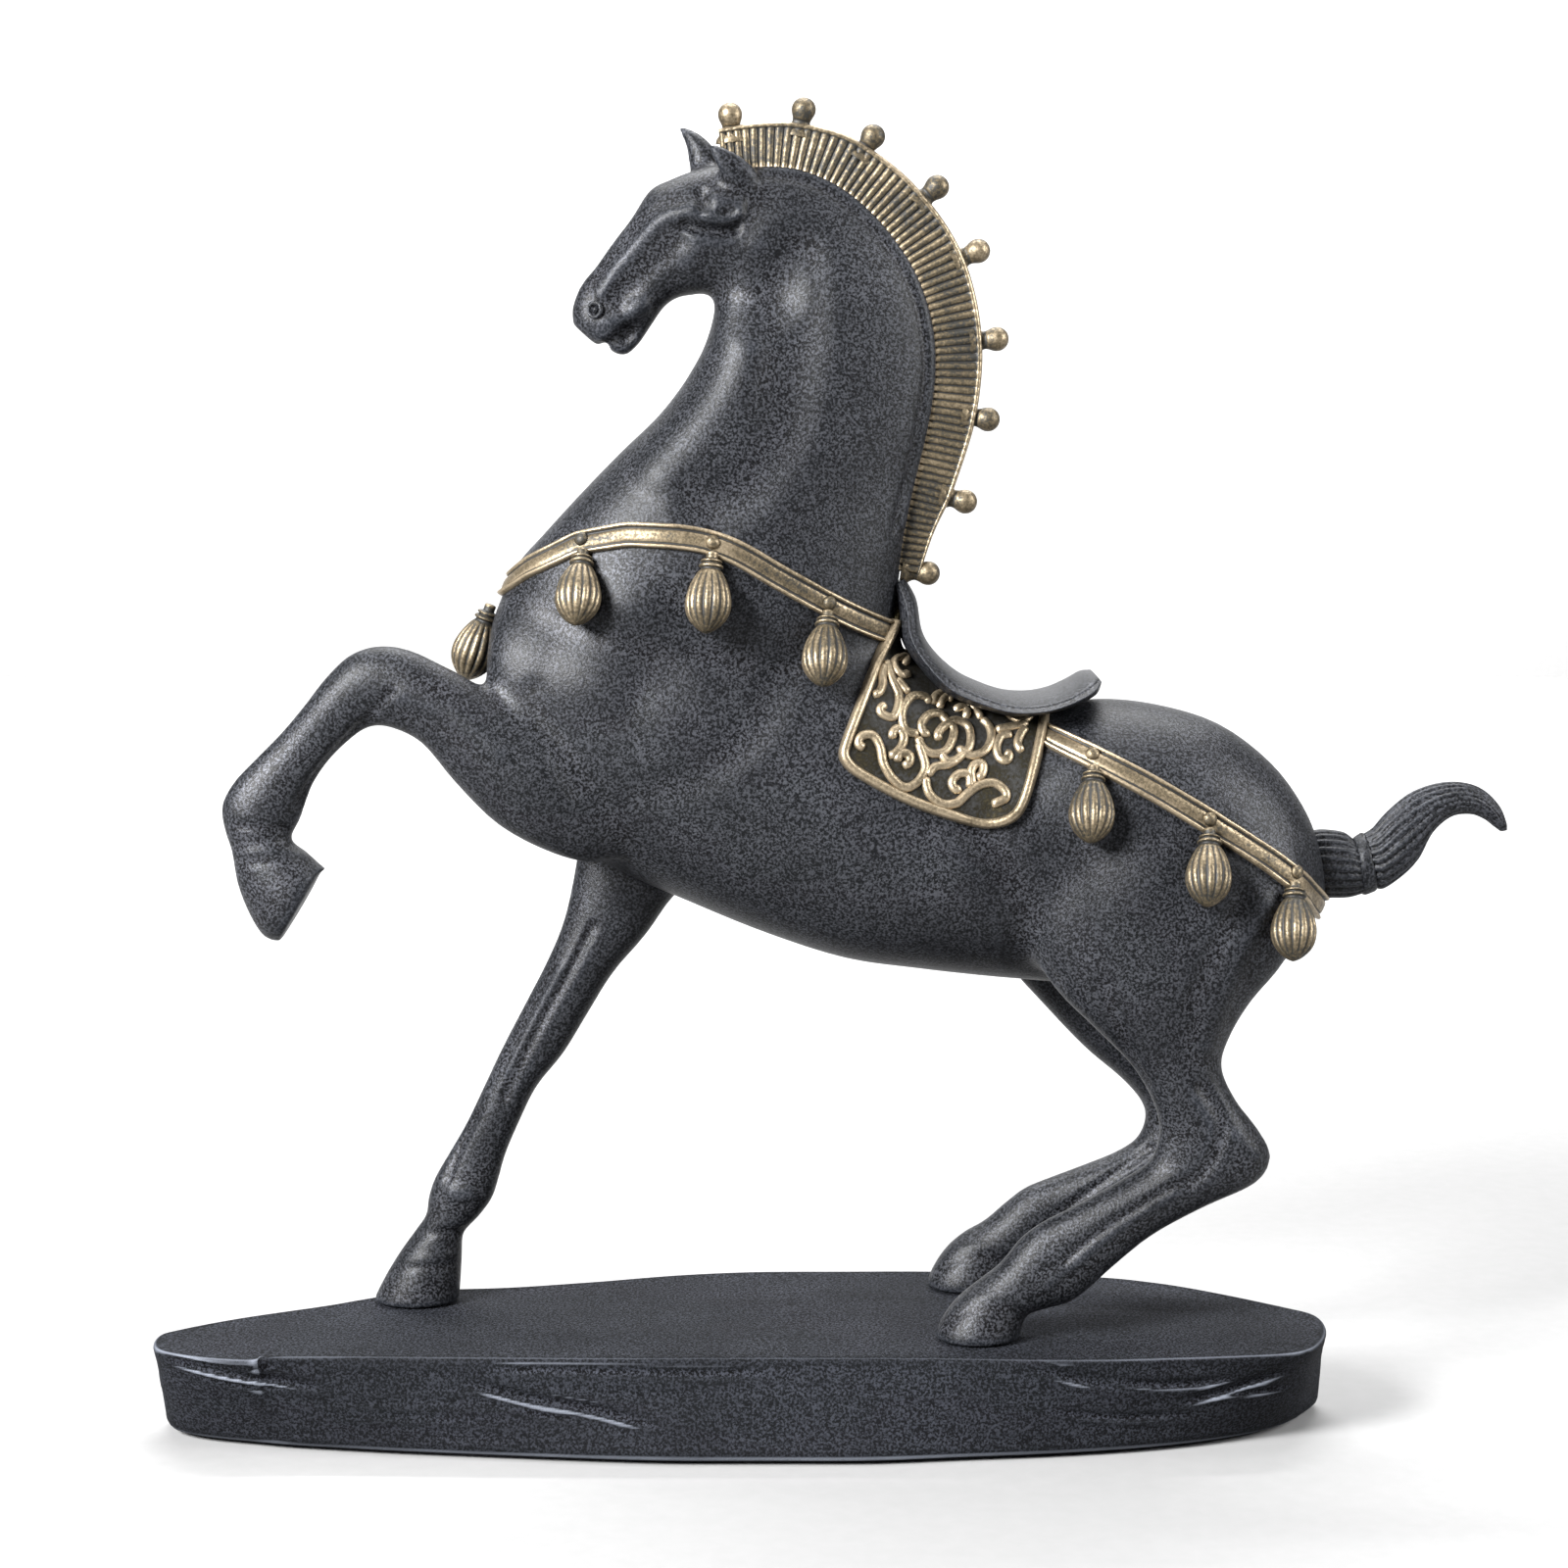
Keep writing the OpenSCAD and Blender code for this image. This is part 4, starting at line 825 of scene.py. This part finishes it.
breastSide = [p for p in breastLine if p[0] > -32]
breastPath = sideRun(breastSide[::-1], -1) + roundFront(-31, breastLine, 88, -1)
breastPath += sideRun(breastSide, 1)
crupperSide = [p for p in crupperLine if p[0] < 140]
crupperPath = sideRun(crupperSide, -1) + roundFront(132, crupperLine, 86, 1)
crupperPath += sideRun(crupperSide[::-1], 1)


def evened(path, pitch=0.9):
    p = np.array([tuple(v) for v in path])
    for _ in range(6):
        p[1:-1] = 0.25 * p[:-2] + 0.5 * p[1:-1] + 0.25 * p[2:]
    run = lengthAlong(p)
    return pointsAt(np.linspace(0, run[-1], int(run[-1] / pitch) + 1), run, p)


for name, path, node in (("breastStrap", breastPath, "breast_strap"),
                         ("crupperStrap", crupperPath, "crupper_strap")):
    piece = stripPiece(name, [evened(path)], strapProfile, skinTree)
    finishPiece(piece, rubbedGold, "antique_gilt", node, wear=0.12, rounds=1)
print("straps laid")


def lathe(name, profile, steps):
    # a profile of (radius, height) spun round the upright axis
    piece = newPiece(name, [(r, 0, z) for r, z in profile], [])
    pickOut(piece)
    piece.data.edges.add(len(profile) - 1)
    piece.data.edges.foreach_set("vertices", [v for i in range(len(profile) - 1) for v in (i, i + 1)])
    bpy.ops.object.mode_set(mode="EDIT")
    bpy.ops.mesh.select_all(action="SELECT")
    bpy.ops.mesh.spin(steps=steps, angle=2 * math.pi, center=(0, 0, 0), axis=(0, 0, 1))
    bpy.ops.mesh.select_all(action="SELECT")
    bpy.ops.mesh.remove_doubles(threshold=0.00001)
    bpy.ops.mesh.normals_make_consistent(inside=False)
    bpy.ops.object.mode_set(mode="OBJECT")
    return piece


def placedCopy(model, name, matrix):
    copy = model.copy()
    copy.data = model.data.copy()
    copy.name = copy.data.name = name
    bpy.context.collection.objects.link(copy)
    copy.data.transform(matrix)
    return copy


def standOn(point, direction):
    # a frame with its upright axis along direction, standing at point (millimetres)
    turn = Vector((0, 0, 1)).rotation_difference(Vector(direction)).to_matrix().to_4x4()
    return Matrix.Translation(Vector(point) * mm) @ turn


tassel = {"radius": 6.4, "length": 22.5, "ribs": 15}
r, l = tassel["radius"], tassel["length"]
tasselShape = [(0.02, 0.5), (1.5, 0.3), (1.6, -0.04 * l), (1.7, -0.07 * l), (2.7, -0.085 * l),
               (3.0, -0.105 * l), (2.4, -0.125 * l), (3.1, -0.145 * l), (3.4, -0.17 * l),
               (2.7, -0.2 * l), (0.56 * r, -0.25 * l), (0.72 * r, -0.33 * l), (0.87 * r, -0.43 * l),
               (0.97 * r, -0.54 * l), (r, -0.63 * l), (0.95 * r, -0.73 * l), (0.79 * r, -0.83 * l),
               (0.52 * r, -0.915 * l), (0.26 * r, -0.97 * l), (0.02, -l)]
tasselProfile = smoothCurve(tasselShape, 3)
tasselModel = lathe("tasselModel", [(max(a, 0), b) for a, b in tasselProfile], tassel["ribs"] * 8)
co = coordinates(tasselModel.data)
around = np.arctan2(co[:, 1], co[:, 0])
skirt = np.clip((-0.21 * l - co[:, 2]) / 2.0, 0, 1) * np.clip((co[:, 2] + 1.0 * l) / 2.5, 0, 1)
rib = np.abs(np.sin(around * tassel["ribs"] / 2 + 0.05 * (co[:, 2] + l))) ** 0.6
co[:, :2] *= (1 - 0.13 * skirt * (1 - rib))[:, None]
moveTo(tasselModel.data, co)
breastHangs = [(-43.2, 225.5), (-7.4, 225), (24.5, 208.3)]
crupperHangs = [(98, 166), (130, 148.8), (154.5, 133.5)]


def hangTassels(stem, node, places):
    count = 0
    for x, z in places:
        for side in (-1, 1):
            top = sideHit(x, deck + z - strap["half"] - 0.6, side)[0]
            low = Vector((x - 0.06 * l, 0, deck + z - strap["half"] - 0.3 - 0.68 * l))
            around = [sideHit(low.x + dx, low.z + dz, side)[0] for dx in (-4, 0, 4) for dz in (-6, 0, 6)]
            belly = max(abs(p.y) for p in around if p)
            low.y = side * (belly + r * 0.86)
            top = Vector((top.x, top.y + side * 1.7, top.z + 1.5))
            count += 1
            spin = Matrix.Rotation(0.4 * count, 4, "Z")
            piece = placedCopy(tasselModel, stem + str(count), standOn(top, top - low) @ spin)
            finishPiece(piece, rubbedGold, "antique_gilt", node, wear=0.10, rounds=1)
    return count


number = hangTassels("breastTassel", "breast_tassels", breastHangs)
# the middle tassel hangs in front of the chest
chest = [skinTree.ray_cast(Vector((-130, 0, deck + z)), Vector((1, 0, 0)))[0].x
         for z in (204, 180, 185, 190, 195)]
frontTop = Vector((chest[0] - 1.6, 0, deck + 206))
frontLow = Vector((min(chest) - r * 0.8, 0, frontTop.z - 0.68 * l))
piece = placedCopy(tasselModel, "breastTassel" + str(number + 1), standOn(frontTop, frontTop - frontLow))
finishPiece(piece, rubbedGold, "antique_gilt", "breast_tassels", wear=0.10, rounds=1)
hangTassels("crupperTassel", "crupper_tassels", crupperHangs)
bpy.data.objects.remove(tasselModel)

rivet = {"radius": 2.0, "height": 1.5}
bpy.ops.mesh.primitive_uv_sphere_add(segments=32, ring_count=16, radius=rivet["radius"] * mm)
rivetModel = bpy.context.active_object
bpy.ops.object.mode_set(mode="EDIT")
bpy.ops.mesh.select_all(action="SELECT")
bpy.ops.mesh.bisect(plane_co=(0, 0, -0.2 * mm), plane_no=(0, 0, 1), clear_inner=True, use_fill=True)
bpy.ops.mesh.select_all(action="SELECT")
bpy.ops.transform.resize(value=(1, 1, rivet["height"] / rivet["radius"]))
bpy.ops.object.mode_set(mode="OBJECT")
for stem, node, places in (("breastRivet", "breast_rivets", breastHangs),
                           ("crupperRivet", "crupper_rivets", crupperHangs)):
    count = 0
    for x, z in places:
        for side in (-1, 1):
            point, normal = sideHit(x, deck + z, side)
            count += 1
            seatAt = point + normal * (strap["thick"] - 0.5)
            piece = placedCopy(rivetModel, stem + str(count), standOn(seatAt, normal))
            finishPiece(piece, rubbedGold, "antique_gilt", node, wear=0.2, rounds=1)
bpy.data.objects.remove(rivetModel)
print("tassels and rivets hung")


# ---- nostrils ----

nostril = {"place": (-40.4, 289.0), "ring": 2.0, "bead": 0.62, "ball": 0.95}
x, z = nostril["place"]
for side, name in ((-1, "leftNostril"), (1, "rightNostril")):
    cheek, out = skinTree.ray_cast(Vector((x - 2.4, side * 60, deck + z)), Vector((0, -side, 0)))[:2]
    cheek = Vector((x, cheek.y + side * 0.6, deck + z))
    lean = Vector((-0.55, side, 0.1)).normalized()
    bpy.ops.mesh.primitive_torus_add(major_segments=48, minor_segments=16,
                                     major_radius=nostril["ring"] * mm,
                                     minor_radius=nostril["bead"] * mm)
    ring = bpy.context.active_object
    bpy.ops.mesh.primitive_uv_sphere_add(segments=24, ring_count=12, radius=nostril["ball"] * mm,
                                         location=(0, 0, -0.5 * mm))
    ball = bpy.context.active_object
    bpy.ops.object.transform_apply(location=True)
    piece = joinPieces(name, [ring, ball])
    piece.data.transform(standOn(cheek, lean))
    finishPiece(piece, blackPatina, "black_casting", "head_casting", wear=0.1, rounds=1)


# ---- mane ----

# (share of the crest, height of the comb)
maneHigh = [(0, 10.4), (0.1, 11.6), (0.2, 13), (0.3, 13.5), (0.45, 13.6), (0.6, 12.8), (0.72, 12.1),
            (0.85, 10), (0.93, 7.6), (1, 5.8)]
mane = {"thick": 6.0, "ribs": 74, "ribDepth": 0.85, "perRib": 8, "ballRadius": 3.4}
stations = mane["ribs"] * mane["perRib"]
dense = smoothCurve(crest, 40)
denseRun = lengthAlong(dense)
combFoot = pointsAt(np.linspace(0, denseRun[-1], stations + 1), denseRun, dense)
way = np.gradient(combFoot, axis=0)
combOut = np.stack([-way[:, 1], way[:, 0]], 1)
combOut /= np.linalg.norm(combOut, axis=1)[:, None]
for _ in range(30):
    combOut[1:-1] = 0.25 * combOut[:-2] + 0.5 * combOut[1:-1] + 0.25 * combOut[2:]
combOut /= np.linalg.norm(combOut, axis=1)[:, None]
share = np.linspace(0, 1, stations + 1)
combHigh = np.interp(share, *np.array(maneHigh).T)
# (share of the height, share of the thickness, how far the ribs show)
levels = [(-0.35, 1.0, 1), (-0.1, 1.0, 1), (0.06, 1.0, 1), (0.2, 1.0, 1), (0.35, 0.98, 1),
          (0.5, 0.96, 1), (0.65, 0.94, 1), (0.78, 0.92, 1), (0.85, 0.9, 0.9), (0.88, 0.86, 0.3),
          (0.9, 0.93, 0), (0.935, 0.95, 0.2), (0.97, 0.86, 0.2), (1.0, 0.5, 0)]
rings = []
for i in range(stations + 1):
    rib = abs(math.sin(math.pi * (i / mane["perRib"]))) ** 0.55
    side = []
    for level, width, ribbed in levels:
        half = mane["thick"] / 2 * width - mane["ribDepth"] * ribbed * (1 - rib)
        foot = combFoot[i] + combOut[i] * combHigh[i] * level
        side.append((foot[0], half, deck + foot[1]))
    rings.append(np.array(side + [(x, -y, z) for x, y, z in side[::-1]]))
comb = newPiece("maneComb", *bridgeRings(rings))
turnFacesOut(comb)
finishPiece(comb, rubbedGold, "antique_gilt", "mane_comb", wear=0.16, rounds=1)

ballCentres = [(-2.7, 371.8), (17.8, 373.2), (37.1, 365.9), (55, 352), (66.6, 334.4), (72, 310),
               (69.7, 287.6), (63.5, 264.5), (53.1, 244.3)]
q = mane["ballRadius"]
ballShape = [(4.8, -7.6), (4.4, -6.3), (3.3, -5.1), (2.7, -4.2), (2.5, -3.5), (2.6, -2.7),
             (0.86 * q, -0.55 * q), (0.96 * q, -0.28 * q), (q, 0.05 * q), (0.92 * q, 0.4 * q),
             (0.71 * q, 0.71 * q), (0.38 * q, 0.93 * q), (0.0, q)]
ballModel = lathe("ballModel", smoothCurve(ballShape, 2), 32)
co = coordinates(ballModel.data)
co[:, 1] *= np.where(co[:, 2] < -3, 0.65, 1)  # the foot is no wider than the comb
moveTo(ballModel.data, co)
combTop = combFoot + combOut * combHigh[:, None]
for number, (x, z) in enumerate(ballCentres, 1):
    nearest = int(np.argmin(np.linalg.norm(combTop - (x, z - deck), axis=1)))
    out = Vector((combOut[nearest][0], 0, combOut[nearest][1]))
    piece = placedCopy(ballModel, "maneBall" + str(number), standOn((x, 0, z), out))
    finishPiece(piece, rubbedGold, "antique_gilt", "mane_balls", wear=0.25, rounds=1)
bpy.data.objects.remove(ballModel)
print("mane made")


# ---- saddle ----

seat = {"width": 46, "sections": [
    (46.5, 214, 43, 212, 0.22), (49.8, 208, 44.5, 205.5, 0.34), (51.5, 199, 45.5, 197, 0.56),
    (55.2, 193, 49.5, 190, 0.76), (61.4, 187.4, 57, 182, 0.9), (68.1, 184, 66, 178, 0.98),
    (75, 181.7, 75, 175.6, 1), (82, 181.2, 83, 175.6, 1), (88, 182.3, 90, 177, 0.98),
    (93, 184.6, 96, 179, 0.95), (97, 187, 100.5, 181.5, 0.85), (100, 187.4, 102, 184.8, 0.6)]}


def seatForm(t, angle):
    # full sides with a worn step between the seat and its flange
    c = np.cos(angle)
    step = 0.05 * np.exp(-((c + 0.15) / 0.12) ** 2) - 0.04 * np.exp(-((c - 0.2) / 0.15) ** 2)
    return 1 + step


seatSections = [s[:4] + (s[4] * seat["width"] / 2,) for s in seat["sections"]]
saddle = drawSkin("saddleSeat", seatSections, 96, 10, 1, seatForm)
finishPiece(saddle, blackPatina, "black_casting", "saddle_seat", wear=0.03, rounds=2)

clothEdge = [(42, 203), (28.5, 170), (28.5, 164.5), (33, 160.5), (47, 153), (63, 147.5), (70, 146.5),
             (76.5, 148.5), (80, 154), (85, 168.5), (89.5, 184)]
clothTop = [(92, 192), (70, 196), (56, 205), (44, 209)]
cloth = {"thick": 1.8, "borderWidth": 2.6, "middle": np.array([58, 182])}


def inOutline(points, outline):
    inside = np.zeros(len(points), bool)
    for a, b in zip(outline, np.roll(outline, -1, 0)):
        crosses = (a[1] > points[:, 1]) != (b[1] > points[:, 1])
        edge = a[0] + (points[:, 1] - a[1]) * (b[0] - a[0]) / (b[1] - a[1] + 1e-12)
        inside ^= crosses & (points[:, 0] < edge)
    return inside


def drawnIn(points, gap):
    # moves the points towards the middle of the cloth
    inward = cloth["middle"] - points
    return points + inward / np.linalg.norm(inward, axis=1)[:, None] * gap


outline = np.concatenate([smoothCurve(clothEdge, 6), np.array(clothTop, float)])
inner = drawnIn(outline, 0.7)
clothRows = inOutline(skinCo[:, [0, 2]] - (0, deck), inner) & np.isin(castingOf, [torso, neck])
chosen = clothRows[skinFaces].all(1)
faces = skinFaces[chosen]
used, compact = np.unique(faces, return_inverse=True)
clothFace = skinCo[used] + skinNormals[used] * cloth["thick"]
clothPiece = newPiece("saddleCloth", clothFace, compact.reshape(-1, 4))
applyModifier(clothPiece, "SOLIDIFY", thickness=(cloth["thick"] + 0.3) * mm, offset=-1)
applyModifier(clothPiece, "SUBSURF", levels=1, render_levels=1)
finishPiece(clothPiece, dimGilt, "dark_gilt", "saddle_cloth", wear=0.05, rounds=1)

w = cloth["borderWidth"]
t = cloth["thick"]
borderProfile = [(-w / 2 - 0.2, -0.4), (-w / 2, t + 0.2), (-w / 2 + 0.3, t + 0.8), (-w / 4, t + 1.15),
                 (0, t + 1.25), (w / 4, t + 1.15), (w / 2 - 0.3, t + 0.8), (w / 2, t + 0.2),
                 (w / 2 + 0.2, -0.4)]
borderLine = drawnIn(np.array(clothEdge, float), 1.2).tolist()
borderPaths = [evened(sideRun(borderLine, side, 0.7), 0.7) for side in (-1, 1)]
border = stripPiece("clothBorder", borderPaths, borderProfile, skinTree)
finishPiece(border, rubbedGold, "antique_gilt", "cloth_border", wear=0.12, rounds=1)

scrolls = [
    [(62, 180.5), (59.5, 180), (56.5, 181), (54, 180.5), (52.5, 178.5)],
    [(52.5, 178.5), (51, 180.5), (47.5, 181), (45, 178.5), (44.5, 175.5), (45.5, 172.5), (48, 171.5),
     (49.5, 171.5)],
    [(49, 171), (50, 168), (53, 166), (56.5, 166.5), (58.5, 169), (59, 172), (57, 174), (55, 176),
     (52, 176), (50, 174), (50.5, 171.5), (52.5, 171.5)],
    [(55, 169), (54.5, 171), (56.5, 173), (59.5, 174), (63, 172.5), (64, 170), (63.5, 167), (61.5, 166),
     (60.5, 168)],
    [(55, 166.5), (57, 164), (59.5, 164), (62, 165.5), (64.5, 165), (68, 166), (70, 169), (69.5, 172),
     (67, 174)],
    [(67.5, 173.5), (66, 176), (64, 177.5), (62, 180.5)],
    [(55, 177), (55.5, 179), (57, 180), (59, 178.5)],
    [(59, 176.5), (61.5, 177), (63, 176), (62.5, 174)],
    [(34.5, 168), (32.5, 169.5), (33.5, 171.5), (36.5, 171.5), (38.5, 168.5), (39.5, 164), (42, 160),
     (45.5, 157.5), (49, 159), (51, 162.5), (50, 166.5), (49, 169.5)],
    [(43, 164), (44, 166.5), (46.5, 166), (46.5, 164), (44.5, 163)],
    [(42, 170), (42, 172), (43.5, 173), (45, 171), (44.5, 168.5), (42.5, 166.5), (40.5, 166)],
    [(51, 160.5), (52, 156), (55.5, 153), (59.5, 153), (63, 155.5), (66.5, 157.5), (70.5, 158),
     (73.5, 156), (73.5, 154), (69.5, 152.5)],
    [(63.5, 156.5), (63.5, 160), (60.5, 160.5), (58.5, 158.5), (59.5, 156.5), (61.5, 157)],
    [(64.5, 157), (64, 161), (65.5, 163), (67.5, 162.5), (67, 160), (65, 159.5)],
    [(51.5, 160), (53.5, 162.5), (57.5, 163), (60.5, 164.5)],
    [(44.5, 189), (46, 190), (45, 191), (42.5, 190.5), (42.5, 188.5), (44.5, 186.5), (47, 187)],
    [(40, 191), (41, 188), (42, 185), (43.5, 182), (43.5, 179), (42, 176), (39, 177), (38.5, 178.5),
     (40.5, 179.5)],
    [(36, 182), (38, 182.5), (39, 184.5), (39, 187), (40, 190)],
    [(42.5, 186), (44.5, 184), (46.5, 181.5)],
    [(78, 177), (79.5, 176.5), (80, 178), (78.5, 179), (77, 178), (77, 175.5), (80, 174.5), (82.5, 176),
     (82, 178)],
    [(74.5, 178), (74.5, 175.5), (77.5, 173.5), (80.5, 173.5), (83, 175.5)],
    [(71, 171), (74, 171.5), (78, 172), (81, 173)],
    [(76.5, 170), (73, 169.5), (71.5, 167), (72, 164.5), (74, 163.5), (75, 165), (73.5, 166)],
    [(80.5, 172), (78.5, 170), (77.5, 167.5), (79, 165.5)],
]
s = 1.25  # half the width of a stroke
scrollProfile = [(-s, t - 0.3), (-s, t + 0.35), (-0.75 * s, t + 0.85), (-0.35 * s, t + 1.15),
                 (0, t + 1.25), (0.35 * s, t + 1.15), (0.75 * s, t + 0.85), (s, t + 0.35), (s, t - 0.3)]
for side, name, node in ((-1, "leftScrollwork", "left_scrollwork"),
                         (1, "rightScrollwork", "right_scrollwork")):
    strokes = [sideRun(line, side, 0.5) for line in scrolls]
    piece = stripPiece(name, strokes, scrollProfile, skinTree, taper=1.2)
    finishPiece(piece, rubbedGold, "antique_gilt", node, wear=0.10, rounds=1)
print("saddle made")


# ---- plinth ----

plinth = {"pitch": 0.9, "foot": 1.5, "high": 27.5, "step": 0.35}
# the rock's outline at the deck and at the foot, point for point
rockTop = [(-166.5, -24), (-164.5, -37), (-153, -44.5), (-136, -48), (-126.5, -45), (-69.5, -45.5),
           (-15, -46), (39.5, -46), (94, -48), (121, -46), (149, -43), (160, -38), (166, -27),
           (168.5, -14), (167, -3), (160, 4.5), (143, 18.5), (124, 31), (104, 37.5), (57, 42.5),
           (12.5, 42.5), (-17.5, 39), (-47, 31), (-70, 25.5), (-97, 22), (-112, 13.5), (-123, 6.5),
           (-144, -5), (-160.5, -16.5)]
rockFoot = [(-165.5, -13), (-163, -25), (-154, -32), (-138, -37), (-118, -41.5), (-69.5, -48.5),
            (-15, -53), (39.5, -52.5), (94, -46), (121, -40), (143, -31.5), (155, -23), (163, -13),
            (169, -1), (165, 9), (154, 18), (140, 26), (122, 34), (103, 39), (57, 45), (12.5, 44.5),
            (-17.5, 41.5), (-47, 33.5), (-70, 27.5), (-97, 23), (-112, 15.5), (-123, 9), (-144, -1),
            (-158, -7)]


def closedCurve(points, steps):
    count = len(points)
    return smoothCurve(points * 3, steps)[count * steps:2 * count * steps + 1]


topLoop, footLoop = closedCurve(rockTop, 24), closedCurve(rockFoot, 24)
loopRun = lengthAlong(topLoop)
columns = int(loopRun[-1] / plinth["pitch"])
at = np.linspace(0, loopRun[-1], columns, endpoint=False)
topLine, footLine = pointsAt(at, loopRun, topLoop), pointsAt(at, loopRun, footLoop)
around = np.roll(topLine + footLine, -3, 0) - np.roll(topLine + footLine, 3, 0)
outward = np.stack([around[:, 1], -around[:, 0]], 1)
outward /= np.linalg.norm(outward, axis=1)[:, None]
# wall levels: height from the foot and how far the wall stands in
wall = [(0.0, 1.9), (0.4, 1.2), (1.0, 0.8), (1.8, 0.6)]
wall += [(h, 0.5) for h in np.arange(2.4, 25.6, 0.6)]
wall += [(26.1, 0.5), (26.6, 0.6), (27.0, 0.8), (27.3, 1.1), (27.45, 1.6), (27.5, 2.4)]
# Strata: (side-view line with z from the deck, depth, reach above, reach below, side)
ledges = [
    ([(-165, -2.2), (-150, -2.8), (-142, -3.2), (-126, -4)], 0.8, 2.0, 3.0, -1),
    ([(-162, -3), (-147, -5), (-135, -7), (-116, -10.5)], 2.0, 3.5, 3.0, -1),
    ([(-158, -6), (-144, -8.4), (-134, -9.6), (-120, -11)], 1.0, 2.0, 2.5, -1),
    ([(-72, -3.8), (-42, -4.3), (-15, -4.8), (10, -4.6)], 0.8, 2.5, 4.0, -1),
    ([(-78, -7.5), (-61, -11.6), (-48, -13.8), (-37, -15.8), (-21, -19.6)], 1.7, 3.2, 3.0, -1),
    ([(-66, -13.5), (-52, -16.5), (-42, -16)], 0.7, 1.8, 2.5, -1),
    ([(80, -3.4), (94, -6.5), (106, -9.6)], 1.3, 4.0, 3.0, -1),
    ([(100, -6.4), (112, -8.2), (124, -8.9), (143, -7.4)], 1.2, 2.5, 3.0, -1),
    ([(84, -15), (105, -17.8), (128, -18.4)], 0.9, 2.0, 3.0, -1),
    ([(122, -15.5), (137.7, -11.3), (156, -6)], 2.2, 3.5, 3.0, -1),
    ([(130, -12.6), (141, -12.7), (158, -12.2)], 1.4, 2.5, 3.0, -1),
    ([(-140, -6), (-110, -5), (-80, -6.5), (-40, -5.5), (0, -6)], 1.0, 2.0, 4.0, 1),
    ([(-60, -14), (-30, -17), (0, -16), (40, -19)], 1.4, 2.5, 4.0, 1),
    ([(30, -5), (70, -7), (110, -6), (150, -8)], 1.2, 2.0, 4.0, 1),
    ([(60, -15), (100, -13.5), (140, -16), (160, -15)], 1.4, 2.5, 4.0, 1),
    ([(-120, -15), (-90, -18), (-66, -17)], 1.2, 2.5, 3.5, 1),
]
levelCount = len(wall)
wallPoints = np.zeros((levelCount, columns, 3))
for row, (high, stand) in enumerate(wall):
    up = high / plinth["high"]
    wallPoints[row, :, :2] = topLine * up + footLine * (1 - up) - outward * stand
    wallPoints[row, :, 2] = plinth["foot"] + high
flatWall = wallPoints.reshape(-1, 3)
push = np.zeros(len(flatWall))
outs = np.tile(outward, (levelCount, 1))
for line, depth, above, below, side in ledges:
    line = evenCurve(line, 1.0)
    flat = flatWall[:, [0, 2]] - (0, deck)
    span = (flat[:, 0] > line[0, 0]) & (flat[:, 0] < line[-1, 0]) & (np.sign(outs[:, 1]) == side)
    level = np.interp(flat[:, 0], line[:, 0], line[:, 1])
    fade = np.clip(np.minimum(flat[:, 0] - line[0, 0], line[-1, 0] - flat[:, 0]) / 12, 0, 1)
    rise = flat[:, 1] - level
    under = 1 / (1 + np.exp(np.clip(rise / plinth["step"], -30, 30)))
    hollow = 0.35 * np.clip(1 + rise / below, 0, 1)
    shape = under * hollow - (1 - under) * np.clip(1 - rise / above, 0, 1)
    push += np.where(span, depth * fade * shape, 0)
for i, p in enumerate(flatWall.tolist()):
    broad = noise.noise(Vector((p[0] * 0.03, p[1] * 0.03, p[2] * 0.08)))
    strata = noise.noise(Vector((p[0] * 0.02 + 7, p[1] * 0.02, p[2] * 0.25)))
    push[i] += 0.6 * broad + 0.35 * max(0.0, abs(strata) - 0.25) - 0.2
flatWall[:, :2] += outs * np.minimum(push, 0.5)[:, None]
wallPoints = flatWall.reshape(levelCount, columns, 3)
rings = [wallPoints[row] for row in range(levelCount)]
edge = wallPoints[-1]
middleY = np.interp(edge[:, 0], [-167, -60, 60, 169], [-27, -12, -2, -10])
spine = np.stack([np.clip(edge[:, 0], -140, 145) * 0.9, middleY, np.full(columns, deck)], 1)
# the deck closes ring by ring from the edge to the spine
shrink = [0.006, 0.015, 0.03, 0.055, 0.09, 0.13, 0.18, 0.24, 0.31, 0.39, 0.48, 0.58, 0.68, 0.78,
          0.88, 0.96]
for part in shrink:
    ring = edge * (1 - part) + spine * part
    for p in ring:
        rough = 0.35 * noise.noise(Vector((p[0] * 0.035, p[1] * 0.06, 3.1))) - 0.25
        p[2] = deck - 0.02 + rough * min(part * 12, 1) * 0.6
    rings.append(ring)
rockPiece = newPiece("rockPlinth", *bridgeRings(rings))
turnFacesOut(rockPiece)
finishPiece(rockPiece, rockPatina, "black_rock", "rock_plinth", wear=0.09, rounds=1)

hardware = ("hoof_studs", "stud_washers", "stud_nuts", "head_dowel", "foreleg_dowel", "tail_dowel")
for name in hardware + ("felt_pad",):
    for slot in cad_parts[name].material_slots:
        slot.material = wornFelt if name == "felt_pad" else zincSteel
print("plinth made")
